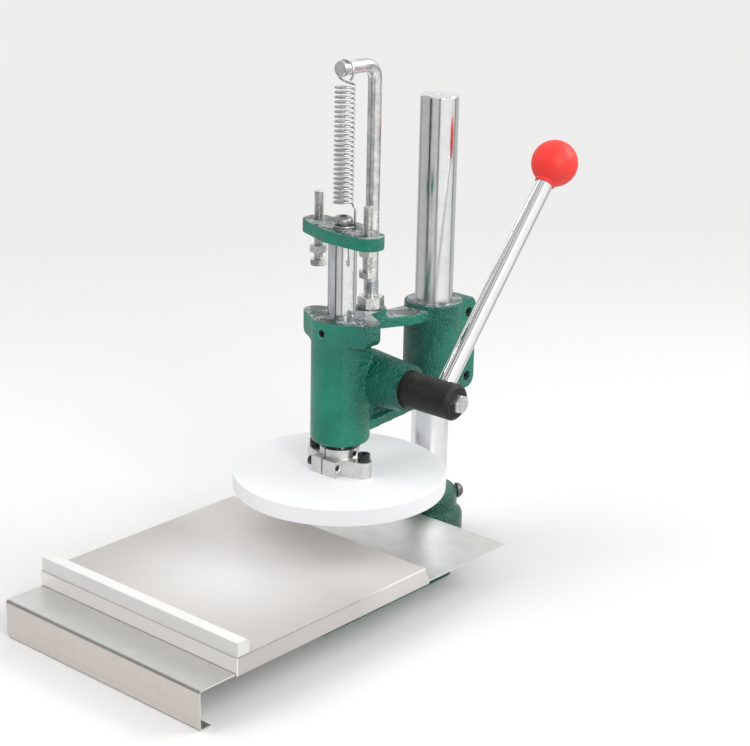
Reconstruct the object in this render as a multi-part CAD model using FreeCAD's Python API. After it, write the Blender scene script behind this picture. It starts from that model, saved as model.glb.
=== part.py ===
"""Rack-and-pinion bench press for pizza dough.

Millimetres. The origin is on the bench under the ram's axis, +Z is up, +X is the lever's side and
+Y is the column's side, so the tray and the sliding lower mould reach out towards -Y.
Every piece is built where it sits at rest: ram up, lever back, lower mould pulled out.
"""
import FreeCAD, Part
import math
import os

V = FreeCAD.Vector
X_AXIS = V(1, 0, 0)
Y_AXIS = V(0, 1, 0)
Z_AXIS = V(0, 0, 1)

# Clearances
RUN_GAP = 0.05            # radial gap of a shaft or bar that turns or slides in its bore
SEAT_GAP = 0.05           # radial gap of a piece that stands still in its hole
FREE_GAP = 0.3            # gap between pieces that move past each other

# Tray
TRAY_WIDTH = 268.0
TRAY_FRONT = 329.0        # from the ram's axis to the front lip
TRAY_BACK = 110.0         # from the ram's axis to the back edge
TRAY_TOP = 40.0           # height of the tray's upper face over the bench
TRAY_SHEET = 1.5
TRAY_RETURN = 14.0        # edge turned back under the front lip
TRAY_BEND = 2.0           # inner bend radius

# Lower mould that slides on the tray
DIE_DEPTH = 263.0
DIE_BACK = 21.0           # its back edge at rest, in front of the ram's axis
DIE_RISE = 16.0           # its upper face over the tray
DIE_SHEET = 1.2
DIE_EDGE = 1.8            # outer radius along its upper edges
DIE_SIDE_GAP = 0.4
DIE_UNDER_GAP = 0.4
DIE_LIP = 8.0             # edge turned in under the tray
DIE_LIP_GAP = 0.7
DIE_SLANT = 7.0           # lean of its back wall
CORE_SIDE_GAP = 1.0
PULL_BAR_DEPTH = 15.0
PULL_BAR_HEIGHT = 14.0
PULL_BAR_SETBACK = 1.5
PULL_BAR_SIDE_GAP = 0.6
PULL_BAR_ROUND = 4.5
PULL_BAR_EDGE = 1.0
BAR_SCREW_SPACING = 105.0
BAR_SCREW_COUNT = 3
BAR_SCREW_LENGTH = 11.0

# Upper plate
PLATE_DIAMETER = 220.0
PLATE_THICKNESS = 18.0
PLATE_EDGE = 1.2
DAYLIGHT = 45.0           # between the upper plate and the lower mould at rest

# Column and foot
COLUMN_DIAMETER = 40.0
COLUMN_REACH = 145.5      # from the ram's axis to the column's axis
COLUMN_TOP = 489.0
COLUMN_CHAMFER = 1.5
COLUMN_FLOOR = 6.0        # iron left under the column
CENTRE_MARK = 3.0
BASE_WIDTH = 174.0
BASE_FRONT = 125.0
BASE_BACK = 87.0
BASE_CORNER = 10.0
BASE_WALL = 10.0
BASE_DECK = 9.0
BASE_RIB = 9.0
NECK_WIDTH = 66.0
NECK_HEIGHT = 26.0
HUB_DIAMETER = 77.0
HUB_WALL_TOP = 25.0
HUB_SHOULDER = 8.0        # height of the rounded shoulder between hub and socket
SOCKET_DIAMETER = 64.0
SOCKET_WALL_TOP = 48.5
SOCKET_TOP = 59.0
SOCKET_RIM = 3.0
LOCK_BOLT_HEIGHT = 49.0
LOCK_BOLT_ANGLE = 55.0
LOCK_BOLT_STAND_OFF = 0.3
LOCK_BOLT_KEY = 6.0
TRAY_SCREW_X = 60.0
TRAY_SCREW_FRONT = 98.0   # in front of the ram's axis
TRAY_SCREW_REAR = 36.0    # also in front of it, under the mould at rest
TRAY_SCREW_LENGTH = 16.0
SCREW_BOSS = 8.0

# Ram, rack and pinion
RAM_DIAMETER = 29.0
KEYWAY_WIDTH = 6.0
KEYWAY_DEPTH = 3.0
KEYWAY_ABOVE = 30.0       # from the ram's foot to the keyway, which runs out under the yoke
TOOTH_MODULE = 2.0
PINION_TEETH = 17
PRESSURE_ANGLE = 20.0
BACKLASH = 0.3
RACK_FLAT = 2.5           # from the ram's back to the rack's tips
RACK_TEETH_BELOW = 3
RACK_TEETH_ABOVE = 9
STROKE = 43.5              # of the left stop, which lands first

# Collar between ram and upper plate
COLLAR_DIAMETER = 41.0
COLLAR_HEIGHT = 27.0
FLANGE_HEIGHT = 17.2
LUG_REACH = 33.0
LUG_RADIUS = 8.2
CLAMP_BLOCK_WIDTH = 32.0
CLAMP_BLOCK_FRONT = 25.3
CLAMP_SLIT = 1.4
CLAMP_SLIT_OFFSET = -1.6
CLAMP_SCREW_HEIGHT = 9.6
CLAMP_SCREW_FRONT = 20.3
GRUB_HEIGHT = 22.0
PLATE_SCREW_DEPTH = 12.0

# Head casting
HOUSING_GAP = 6.0         # between the collar and the housing
HOUSING_DIAMETER = 61.0
HOUSING_HEIGHT = 131.0
HOUSING_ROUND = 4.0
EAR_REACH = 47.5
EAR_WIDTH = 27.0
EAR_TIP = 15.0
EAR_ROOT = 24.0
PINION_HEIGHT = 64.0      # from the housing's foot to the pinion's axis
BOSS_ROOT_DIAMETER = 58.0
BOSS_END_DIAMETER = 47.5
BOSS_END = 68.0           # from the ram's axis to the boss's end
FAR_BOSS_END = 36.0
FAR_BOSS_DIAMETER = 46.0
ARM_THICKNESS = 10.5
ARM_WIDTH = 35.0
ARM_START = 8.5           # of the arm's top under the housing's top, at the spring rod
ARM_KNEE = 94.0           # from the ram's axis to where the arm's top turns nearly level
ARM_KNEE_DROP = 16.0
ARM_END_DROP = 17.5
SEAT_DIAMETER = 32.0      # round seat of the spring rod's nut
SEAT_THICKNESS = 18.0
CLAMP_DROP = 13.0         # of the column clamp's top under the housing's top
CLAMP_DIAMETER = 62.0
CLAMP_HEIGHT = 107.0
CLAMP_ROUND = 2.5
CLAMP_EAR_REACH = 50.0
CLAMP_EAR_WIDTH = 38.0
CLAMP_EAR_TRIM = 3.0
CLAMP_EAR_CORNER = 12.0
COLUMN_SLIT = 3.5
COLUMN_SCREW_REACH = 37.0
COLUMN_SCREW_SPACING = 72.0
COLUMN_SCREW_LIFT = 17.0
COUNTERBORE = 7.5
WEB_THICKNESS = 10.0
WEB_TOP = 50.0            # over the housing's foot
RIM_WIDTH = 34.0
RIM_THICKNESS = 9.5
GUIDE_SCREW_DROP = 12.0

# Pinion shaft and lever
HUB_ROD_DIAMETER = 37.0
HUB_END = 130.0
HUB_CHAMFER = 3.0
TOOTHED_LENGTH = 30.0
JOURNAL_DIAMETER = 20.0
BUSH_WALL = 4.0
END_WASHER_DIAMETER = 32.0
END_WASHER_THICKNESS = 3.0
LEVER_OFFSET = 107.0      # of the lever along the pinion's axis
LEVER_DIAMETER = 18.0
LEVER_LENGTH = 273.0      # from the pinion's axis to the ball's centre
LEVER_LEAN = 40.0         # back from the vertical
LEVER_TAIL = 13.0
BALL_DIAMETER = 48.0
BALL_SOCKET = 15.0
BALL_NECK_DIAMETER = 24.0
BALL_NECK = 2.5

# Yoke and stops
YOKE_HEIGHT = 79.5        # from the housing's top to the yoke
YOKE_THICKNESS = 13.0
YOKE_REACH = 40.0
YOKE_END_RADIUS = 16.2
YOKE_MIDDLE_RADIUS = 23.0
YOKE_EDGE = 1.5
YOKE_TURN = -10.6
SPIGOT_DIAMETER = 19.0
SPIGOT_SHORT = 0.5
STOP_BOLT_TOP = 404.0
LEFT_STOP_HEIGHT = STROKE + 1.0   # from the ear to the bolt's head
RIGHT_STOP_HEIGHT = 50.0
LEFT_NUT_DROP = 13.5      # of the lock nut under the yoke
TOP_SCREW_NECK = 4.7
TOP_SCREW_NECK_DIAMETER = 13.0
TOP_SCREW_HEAD_DIAMETER = 20.0
TOP_SCREW_HEAD = 6.3
TOP_SCREW_RIM = 2.0
TOP_SCREW_LENGTH = 20.0
TOP_SCREW_KEY = 8.0
TOP_SCREW_SOCKET = 4.2

# Spring rod and return spring
SPRING_ROD_REACH = 44.0
SPRING_ROD_DIAMETER = 14.0
SPRING_ROD_THREAD = 16.0
SPRING_ROD_THREAD_TOP = 29.0
SPRING_ROD_TAIL = 12.5
SPRING_ARM_HEIGHT = 249.0  # of the arm's axis over the housing's top
SPRING_ARM_TIP = 8.2
SPRING_ARM_BEND = 15.5
SPRING_ARM_HEAD = 4.6
SPRING_ARM_HEAD_DIAMETER = 15.4
SPRING_GROOVE = 7.6
SPRING_GROOVE_DIAMETER = 13.0
WIRE = 2.2
COIL_RADIUS = 9.3
COIL_TURNS = 25.0
COIL_PITCH = 4.72
COIL_START = 40.0         # angle of the lowest coil's start
COIL_FOOT = 21.0          # from the wire eye's plane to the lowest coil
EYE_RADIUS = 10.6
EYE_OFFSET = 1.2
EYE_SWEEP = 290.0
EYE_TAIL = 7.0
EYE_BEND = 3.0
HOOK_RADIUS = 10.4
HOOK_END = -48.0

# Fasteners: shank radius, width across flats or head diameter, head height
M5 = (2.5, 9.0, 3.0)
M6_CAP = (3.0, 10.0, 6.0)
M6_SUNK = (3.0, 11.0, 2.6)
M8_CAP = (4.0, 13.0, 8.0)
M8_GRUB = (4.0, 4.0, 3.0)
M6_GRUB = (3.0, 3.0, 2.5)
M10_BUTTON = (5.0, 17.0, 8.0)
M10_HEX = (5.0, 16.0, 6.4)
M10_BIG = (5.0, 17.0, 7.0)
M10_NUT = (5.0, 16.0, 8.0)
M16_NUT = (8.0, 24.0, 13.0)

# Heights and places that follow from the sizes above
DIE_TOP = TRAY_TOP + DIE_RISE
PLATE_BOTTOM = DIE_TOP + DAYLIGHT
PLATE_TOP = PLATE_BOTTOM + PLATE_THICKNESS
HOUSING_BOTTOM = PLATE_TOP + COLLAR_HEIGHT + HOUSING_GAP
HOUSING_TOP = HOUSING_BOTTOM + HOUSING_HEIGHT
CLAMP_TOP = HOUSING_TOP - CLAMP_DROP
CLAMP_BOTTOM = CLAMP_TOP - CLAMP_HEIGHT
YOKE_BOTTOM = HOUSING_TOP + YOKE_HEIGHT
YOKE_TOP = YOKE_BOTTOM + YOKE_THICKNESS
RAM_RADIUS = RAM_DIAMETER / 2
COLUMN_RADIUS = COLUMN_DIAMETER / 2
PINION_Z = HOUSING_BOTTOM + PINION_HEIGHT
PITCH_RADIUS = TOOTH_MODULE * PINION_TEETH / 2
TIP_RADIUS = PITCH_RADIUS + TOOTH_MODULE
ROOT_RADIUS = PITCH_RADIUS - 1.25 * TOOTH_MODULE
RACK_TIP_Y = RAM_RADIUS - RACK_FLAT
RACK_PITCH_Y = RACK_TIP_Y - TOOTH_MODULE
PINION_Y = RACK_PITCH_Y + PITCH_RADIUS
TOOTH_PITCH = math.pi * TOOTH_MODULE
ARM_AXIS_Z = HOUSING_TOP + SPRING_ARM_HEIGHT
EYE_Z = YOKE_TOP + WIRE / 2 + FREE_GAP
DIE_HALF = TRAY_WIDTH / 2 + DIE_SIDE_GAP + DIE_SHEET
DIE_FRONT_Y = -(DIE_BACK + DIE_DEPTH)


def box(x0, x1, y0, y1, z0, z1):
    """A block between two corners."""
    return Part.makeBox(x1 - x0, y1 - y0, z1 - z0, V(x0, y0, z0))


def rod(radius, start, axis, length):
    """A round bar from a point along an axis."""
    return Part.makeCylinder(radius, length, start, axis)


def fuse(shapes):
    """One solid from several that meet."""
    whole = shapes[0].fuse(shapes[1:])
    return whole.removeSplitter()


def arc_at_corner(before, corner, after, radius):
    """The two tangent points and the middle point of a rounded corner."""
    to_before = (before - corner).normalize()
    to_after = (after - corner).normalize()
    half = to_before.getAngle(to_after) / 2
    reach = radius / math.tan(half)
    middle_direction = (to_before + to_after).normalize()
    middle = corner + middle_direction * (radius / math.sin(half) - radius)
    return corner + to_before * reach, middle, corner + to_after * reach


def rounded_outline(corners):
    """A closed face from (point, radius) pairs."""
    edges = []
    count = len(corners)
    starts = []
    ends = []
    for i in range(count):
        point, radius = corners[i]
        if radius == 0:
            starts.append(point)
            ends.append(point)
            continue
        first, middle, last = arc_at_corner(
            corners[i - 1][0], point, corners[(i + 1) % count][0], radius
        )
        edges.append(Part.Arc(first, middle, last).toShape())
        starts.append(first)
        ends.append(last)
    for i in range(count):
        after = (i + 1) % count
        if ends[i].distanceToPoint(starts[after]) > 1e-6:
            edges.append(Part.LineSegment(ends[i], starts[after]).toShape())
    return Part.Face(Part.Wire(Part.__sortEdges__(edges)))


def yz_prism(corners, half_width):
    """A profile in the YZ plane, as deep on both sides of the middle plane."""
    points = [(V(-half_width, y, z), radius) for y, z, radius in corners]
    return rounded_outline(points).extrude(X_AXIS * (2 * half_width))


def plan_prism(corners, z0, z1):
    """A profile in plan between two heights."""
    points = [(V(x, y, z0), radius) for x, y, radius in corners]
    return rounded_outline(points).extrude(Z_AXIS * (z1 - z0))


def link_prism(reach, end_radius, middle_radius, z0, z1):
    """A bar with round ends and a round middle, joined by tangent lines."""
    lean = math.asin((middle_radius - end_radius) / reach)
    shapes = [rod(middle_radius, V(0, 0, z0), Z_AXIS, z1 - z0)]
    for side in (-1, 1):
        shapes.append(rod(end_radius, V(side * reach, 0, z0), Z_AXIS, z1 - z0))
    corners = []
    for side, half in ((1, 1), (1, -1), (-1, -1), (-1, 1)):
        sine, cosine = side * math.sin(lean), half * math.cos(lean)
        end = (side * reach + end_radius * sine, end_radius * cosine, 0)
        middle = (middle_radius * sine, middle_radius * cosine, 0)
        pair = [middle, end] if side * half > 0 else [end, middle]
        corners.extend(pair)
    shapes.append(plan_prism(corners, z0, z1))
    return fuse(shapes)


def hexagon(flats, base, axis, height, turn=0.0):
    """A hexagonal prism with its washer-side corners left sharp and its top chamfered."""
    corner_radius = flats / math.sqrt(3)
    points = []
    for i in range(7):
        angle = math.radians(60 * i + turn)
        points.append(V(corner_radius * math.cos(angle), corner_radius * math.sin(angle), 0))
    prism = Part.Face(Part.makePolygon(points)).extrude(Z_AXIS * height)
    rise = corner_radius - flats / 2
    trim = Part.makeCone(
        corner_radius + height * 1.732, corner_radius - rise, height + rise * 0.577,
        V(0, 0, 0), Z_AXIS
    )
    prism = prism.common(trim)
    prism.Placement = FreeCAD.Placement(base, FreeCAD.Rotation(Z_AXIS, axis))
    return prism


def hex_bolt(size, base, axis, shank, turn=0.0):
    """A bolt: its head stands along the axis from the base, its shank runs the other way."""
    radius, flats, height = size
    head = hexagon(flats, base, axis, height, turn)
    return fuse([head, rod(radius, base - axis * shank, axis, shank)])


def nut(size, base, axis, turn=0.0):
    """A nut standing on its base."""
    radius, flats, height = size
    body = hexagon(flats, base, axis, height, turn)
    return body.cut(rod(radius + SEAT_GAP, base - axis, axis, height + 2))


def cap_screw(size, base, axis, shank, key):
    """A socket screw: its round head stands along the axis from the base."""
    radius, diameter, height = size
    head = rod(diameter / 2, base, axis, height)
    body = fuse([head, rod(radius, base - axis * shank, axis, shank)])
    socket = hexagon(key, base + axis * (height / 2), axis, height)
    return body.cut(socket)


def button_screw(size, base, axis, shank, key):
    """A socket screw with a domed head that stands along the axis from the base."""
    radius, diameter, height = size
    half = diameter / 2
    bulge = (half * half + height * height) / (2 * height)
    slab = rod(diameter, base, axis, height)
    head = slab.common(Part.makeSphere(bulge, base + axis * (height - bulge)))
    body = fuse([head, rod(radius, base - axis * shank, axis, shank)])
    return body.cut(hexagon(key, base + axis * (height / 2), axis, height))


def grub_screw(size, base, axis, length):
    """A headless screw whose socket opens at the base and whose body runs along the axis."""
    radius, key, depth = size
    body = rod(radius, base, axis, length)
    socket = hexagon(key, base - axis, axis, depth + 1)
    return body.cut(socket)


def turned(profile, centre):
    """A solid turned about a vertical axis from (radius, height[, bulge point]) steps."""
    edges = []
    for i in range(len(profile)):
        start = V(profile[i][0], 0, profile[i][1])
        following = profile[(i + 1) % len(profile)]
        end = V(following[0], 0, following[1])
        if len(profile[i]) == 3:
            middle = V(profile[i][2][0], 0, profile[i][2][1])
            edges.append(Part.Arc(start, middle, end).toShape())
        elif start.distanceToPoint(end) > 1e-6:
            edges.append(Part.LineSegment(start, end).toShape())
    solid = Part.Face(Part.Wire(edges)).revolve(V(0, 0, 0), Z_AXIS, 360)
    solid.translate(centre)
    return solid


def quarter_bulge(r0, z0, r1, z1):
    """The middle point of an elliptical-looking quarter that bulges outwards and upwards."""
    share = math.sqrt(0.5)
    return (r1 + (r0 - r1) * share, z0 + (z1 - z0) * share)


def on_column(z):
    """A point on the column's axis."""
    return V(0, COLUMN_REACH, z)


def tray_screw_places():
    """Where the tray is screwed to the foot."""
    return [(x, y) for x in (-TRAY_SCREW_X, TRAY_SCREW_X) for y in (-TRAY_SCREW_FRONT, -TRAY_SCREW_REAR)]


def sunk_screw(x, y, top, length, extra):
    """A countersunk screw hanging from its flat head, or the hole for it."""
    radius, diameter, height = M6_SUNK
    head = Part.makeCone(radius + extra, diameter / 2 + extra, height, V(x, y, top - height), Z_AXIS)
    return fuse([head, rod(radius + extra, V(x, y, top - length), Z_AXIS, length - height / 2)])


def lock_bolt_direction():
    """Outwards from the column along the lock bolt."""
    angle = math.radians(LOCK_BOLT_ANGLE)
    return V(math.cos(angle), math.sin(angle), 0)


def make_base_casting():
    """The foot: a ribbed plate under the tray and a stepped socket for the column."""
    deck = TRAY_TOP - TRAY_SHEET
    half = BASE_WIDTH / 2
    plate = plan_prism(
        [(-half, -BASE_FRONT, BASE_CORNER), (half, -BASE_FRONT, BASE_CORNER),
         (half, BASE_BACK, BASE_CORNER), (-half, BASE_BACK, BASE_CORNER)], 0, deck
    )
    inner_x = half - BASE_WALL
    middle_y = (BASE_BACK - BASE_FRONT) / 2
    spans_x = [(-inner_x, -BASE_RIB / 2), (BASE_RIB / 2, inner_x)]
    spans_y = [(-BASE_FRONT + BASE_WALL, middle_y - BASE_RIB / 2),
               (middle_y + BASE_RIB / 2, BASE_BACK - BASE_WALL)]
    for x0, x1 in spans_x:
        for y0, y1 in spans_y:
            plate = plate.cut(box(x0, x1, y0, y1, -1, deck - BASE_DECK))
    neck = box(-NECK_WIDTH / 2, NECK_WIDTH / 2, BASE_BACK - BASE_WALL, COLUMN_REACH, 0, NECK_HEIGHT)
    hub_r, socket_r, rim_r = HUB_DIAMETER / 2, SOCKET_DIAMETER / 2, COLUMN_RADIUS + SOCKET_RIM
    shoulder_top = HUB_WALL_TOP + HUB_SHOULDER
    tower = turned(
        [(0, 0), (hub_r, 0),
         (hub_r, HUB_WALL_TOP, quarter_bulge(hub_r, HUB_WALL_TOP, socket_r, shoulder_top)),
         (socket_r, shoulder_top),
         (socket_r, SOCKET_WALL_TOP, quarter_bulge(socket_r, SOCKET_WALL_TOP, rim_r, SOCKET_TOP)),
         (rim_r, SOCKET_TOP), (0, SOCKET_TOP)],
        on_column(0)
    )
    bosses = [
        rod(SCREW_BOSS, V(x, y, deck - TRAY_SCREW_LENGTH - BASE_DECK / 2), Z_AXIS, TRAY_SCREW_LENGTH)
        for x, y in tray_screw_places()
    ]
    foot = fuse([plate, neck, tower] + bosses)
    foot = foot.cut(rod(COLUMN_RADIUS + RUN_GAP, on_column(COLUMN_FLOOR), Z_AXIS, SOCKET_TOP))
    direction = lock_bolt_direction()
    foot = foot.cut(rod(M10_BUTTON[0] + SEAT_GAP, on_column(LOCK_BOLT_HEIGHT), direction, HUB_DIAMETER))
    for x, y in tray_screw_places():
        foot = foot.cut(sunk_screw(x, y, TRAY_TOP, TRAY_SCREW_LENGTH + 1, SEAT_GAP))
    return foot


def make_base_lock_bolt():
    """The bolt that holds the column in its socket."""
    direction = lock_bolt_direction()
    stand_off = SOCKET_DIAMETER / 2 + LOCK_BOLT_STAND_OFF
    base = on_column(LOCK_BOLT_HEIGHT) + direction * stand_off
    shank = stand_off - COLUMN_RADIUS - FREE_GAP
    return button_screw(M10_BUTTON, base, direction, shank, LOCK_BOLT_KEY)


def make_tray_sheet():
    """The folded tray: a flat top, a front lip down to the bench and an edge turned back."""
    front, back, sheet = -TRAY_FRONT, TRAY_BACK, TRAY_SHEET
    inner, outer = TRAY_BEND, TRAY_BEND + sheet
    tray = yz_prism(
        [(back, TRAY_TOP, 0), (front, TRAY_TOP, outer), (front, 0, outer), (front + TRAY_RETURN, 0, 0),
         (front + TRAY_RETURN, sheet, 0), (front + sheet, sheet, inner),
         (front + sheet, TRAY_TOP - sheet, inner), (back, TRAY_TOP - sheet, 0)], TRAY_WIDTH / 2
    )
    for x, y in tray_screw_places():
        tray = tray.cut(sunk_screw(x, y, TRAY_TOP, TRAY_SCREW_LENGTH, SEAT_GAP))
    return tray


def make_tray_screws():
    """Four countersunk screws, level with the tray."""
    return [sunk_screw(x, y, TRAY_TOP, TRAY_SCREW_LENGTH, 0) for x, y in tray_screw_places()]


def make_column():
    """The bar, with a chamfered end and a centre mark."""
    r, c = COLUMN_RADIUS, COLUMN_CHAMFER
    foot = COLUMN_FLOOR + FREE_GAP
    return turned(
        [(0, foot), (r - c, foot), (r, foot + c), (r, COLUMN_TOP - c), (r - c, COLUMN_TOP),
         (CENTRE_MARK, COLUMN_TOP), (0, COLUMN_TOP - CENTRE_MARK * 0.6)], on_column(0)
    )


def make_lower_die():
    """The folded pan whose side walls wrap round the tray's edges and lean back at their rear ends."""
    back, t = -DIE_BACK, DIE_SHEET
    low = TRAY_TOP - TRAY_SHEET - DIE_LIP_GAP - t
    lean = DIE_SLANT
    outer = box(-DIE_HALF, DIE_HALF, DIE_FRONT_Y, back, low, DIE_TOP)
    rims = [edge for edge in outer.Edges
            if edge.BoundBox.ZMin > DIE_TOP - 0.01 and edge.BoundBox.YMin < back - 1]
    outer = outer.makeFillet(DIE_EDGE, rims)
    pan = outer.cut(box(-DIE_HALF + t, DIE_HALF - t, DIE_FRONT_Y + t, back - t, low - 1, DIE_TOP - t))
    under = TRAY_TOP + DIE_UNDER_GAP
    pan = pan.cut(box(-DIE_HALF + t, DIE_HALF - t, DIE_FRONT_Y - 1, back + 1, low - 1, under))
    folds = []
    for side in (-1, 1):
        lip = sorted((side * DIE_HALF, side * (DIE_HALF - t - DIE_LIP)))
        folds.append(box(lip[0], lip[1], DIE_FRONT_Y, back + lean, low, low + t))
        wall = sorted((side * DIE_HALF, side * (DIE_HALF - t)))
        bend = DIE_TOP - DIE_EDGE
        corners = [(back - t, low), (back + lean, low), (back, bend), (back - t, bend)]
        outline = rounded_outline([(V(wall[0], y, z), 0) for y, z in corners])
        folds.append(outline.extrude(X_AXIS * t))
    pan = fuse([pan] + folds)
    for x in bar_screw_places():
        pan = pan.cut(rod(M5[0] + SEAT_GAP, V(x, bar_middle_y(), DIE_TOP - 2 * t), Z_AXIS, 4 * t))
    return pan


def bar_screw_places():
    """Where the pull bar's screws stand along it."""
    first = -BAR_SCREW_SPACING * (BAR_SCREW_COUNT - 1) / 2
    return [first + BAR_SCREW_SPACING * i for i in range(BAR_SCREW_COUNT)]


def bar_middle_y():
    """The pull bar's middle line."""
    return DIE_FRONT_Y + PULL_BAR_SETBACK + PULL_BAR_DEPTH / 2


def make_die_core():
    """The board that fills the pan behind the pull bar and slides on the tray."""
    front = DIE_FRONT_Y + PULL_BAR_SETBACK + PULL_BAR_DEPTH
    half = DIE_HALF - DIE_SHEET - CORE_SIDE_GAP
    top = DIE_TOP - DIE_SHEET
    return box(-half, half, front, -DIE_BACK - DIE_SHEET - CORE_SIDE_GAP, TRAY_TOP + DIE_UNDER_GAP, top)


def make_pull_bar():
    """The plastic bar along the pan's front edge."""
    front = DIE_FRONT_Y + PULL_BAR_SETBACK
    top = DIE_TOP + PULL_BAR_HEIGHT
    bar = yz_prism(
        [(front, DIE_TOP, 0), (front, top, PULL_BAR_EDGE), (front + PULL_BAR_DEPTH, top, PULL_BAR_ROUND),
         (front + PULL_BAR_DEPTH, DIE_TOP, 0)], DIE_HALF - PULL_BAR_SIDE_GAP
    )
    depth = BAR_SCREW_LENGTH - DIE_SHEET + 1
    for x in bar_screw_places():
        bar = bar.cut(rod(M5[0] + SEAT_GAP, V(x, bar_middle_y(), DIE_TOP - 1), Z_AXIS, depth + 1))
    return bar


def make_pull_bar_screws():
    """Screws from below, with their heads under the pan's top."""
    radius, diameter, height = M5
    screws = []
    for x in bar_screw_places():
        base = V(x, bar_middle_y(), DIE_TOP - DIE_SHEET)
        screws.append(fuse([rod(diameter / 2, base - Z_AXIS * height, Z_AXIS, height),
                            rod(radius, base, Z_AXIS, BAR_SCREW_LENGTH)]))
    return screws


def make_upper_plate():
    """The round plate that presses the dough."""
    plate = rod(PLATE_DIAMETER / 2, V(0, 0, PLATE_BOTTOM), Z_AXIS, PLATE_THICKNESS)
    rims = [edge for edge in plate.Edges if edge.Closed and edge.Curve.TypeId == "Part::GeomCircle"]
    plate = plate.makeFillet(PLATE_EDGE, rims)
    hole_foot = PLATE_TOP - PLATE_SCREW_DEPTH - 1
    for side in (-1, 1):
        foot = V(side * LUG_REACH, 0, hole_foot)
        plate = plate.cut(rod(M8_CAP[0] + SEAT_GAP, foot, Z_AXIS, PLATE_THICKNESS))
    return plate


def make_collar():
    """The slit collar: a hub on an oval flange, with a clamp block in front."""
    flange = link_prism(LUG_REACH, LUG_RADIUS, COLLAR_DIAMETER / 2, PLATE_TOP, PLATE_TOP + FLANGE_HEIGHT)
    hub = rod(COLLAR_DIAMETER / 2, V(0, 0, PLATE_TOP), Z_AXIS, COLLAR_HEIGHT)
    half = CLAMP_BLOCK_WIDTH / 2
    block = box(-half, half, -CLAMP_BLOCK_FRONT, 0, PLATE_TOP, PLATE_TOP + FLANGE_HEIGHT)
    collar = fuse([flange, hub, block])
    collar = collar.cut(rod(RAM_RADIUS + SEAT_GAP, V(0, 0, PLATE_TOP - 1), Z_AXIS, COLLAR_HEIGHT + 2))
    slit = CLAMP_SLIT_OFFSET
    collar = collar.cut(box(slit - CLAMP_SLIT / 2, slit + CLAMP_SLIT / 2, -CLAMP_BLOCK_FRONT - 1, 0,
                            PLATE_TOP - 1, PLATE_TOP + COLLAR_HEIGHT + 1))
    start = V(-half - 1, -CLAMP_SCREW_FRONT, PLATE_TOP + CLAMP_SCREW_HEIGHT)
    collar = collar.cut(rod(M6_CAP[0] + SEAT_GAP, start, X_AXIS, CLAMP_BLOCK_WIDTH + 2))
    for side in (-1, 1):
        lug = V(side * LUG_REACH, 0, PLATE_TOP)
        collar = collar.cut(rod(M8_CAP[0] + SEAT_GAP, lug - Z_AXIS, Z_AXIS, COLLAR_HEIGHT))
        clear = rod(M8_CAP[1] / 2 + FREE_GAP, lug + Z_AXIS * FLANGE_HEIGHT, Z_AXIS, COLLAR_HEIGHT)
        collar = collar.cut(clear)
    grub = V(RAM_RADIUS, 0, PLATE_TOP + GRUB_HEIGHT)
    return collar.cut(rod(M6_GRUB[0] + SEAT_GAP, grub - X_AXIS * 2, X_AXIS, COLLAR_DIAMETER / 2))


def make_collar_clamp_screw():
    """The screw that closes the collar's slit, with its head on the far side from the lever."""
    base = V(-CLAMP_BLOCK_WIDTH / 2, -CLAMP_SCREW_FRONT, PLATE_TOP + CLAMP_SCREW_HEIGHT)
    return cap_screw(M6_CAP, base, -X_AXIS, CLAMP_BLOCK_WIDTH - 3, 5.0)


def make_collar_grub_screw():
    """The grub screw through the collar's hub against the ram."""
    length = COLLAR_DIAMETER / 2 - RAM_RADIUS - 1
    base = V(RAM_RADIUS + SEAT_GAP + length, 0, PLATE_TOP + GRUB_HEIGHT)
    return grub_screw(M6_GRUB, base, -X_AXIS, length)


def make_collar_plate_screws():
    """The two screws through the collar's lugs into the plate."""
    screws = []
    for side in (-1, 1):
        base = V(side * LUG_REACH, 0, PLATE_TOP + FLANGE_HEIGHT)
        screws.append(cap_screw(M8_CAP, base, Z_AXIS, FLANGE_HEIGHT + PLATE_SCREW_DEPTH, 6.0))
    return screws


def rack_gap(z):
    """The space between two rack teeth, centred on a height."""
    lean = math.tan(math.radians(PRESSURE_ANGLE))
    at_pitch = TOOTH_PITCH / 2 + BACKLASH / 2
    depth = 1.25 * TOOTH_MODULE
    wide = at_pitch / 2 + (RAM_RADIUS - RACK_PITCH_Y) * lean
    narrow = at_pitch / 2 - depth * lean
    return yz_prism(
        [(RAM_RADIUS, z - wide, 0), (RACK_PITCH_Y - depth, z - narrow, 0),
         (RACK_PITCH_Y - depth, z + narrow, 0), (RAM_RADIUS, z + wide, 0)], RAM_RADIUS
    )


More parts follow.
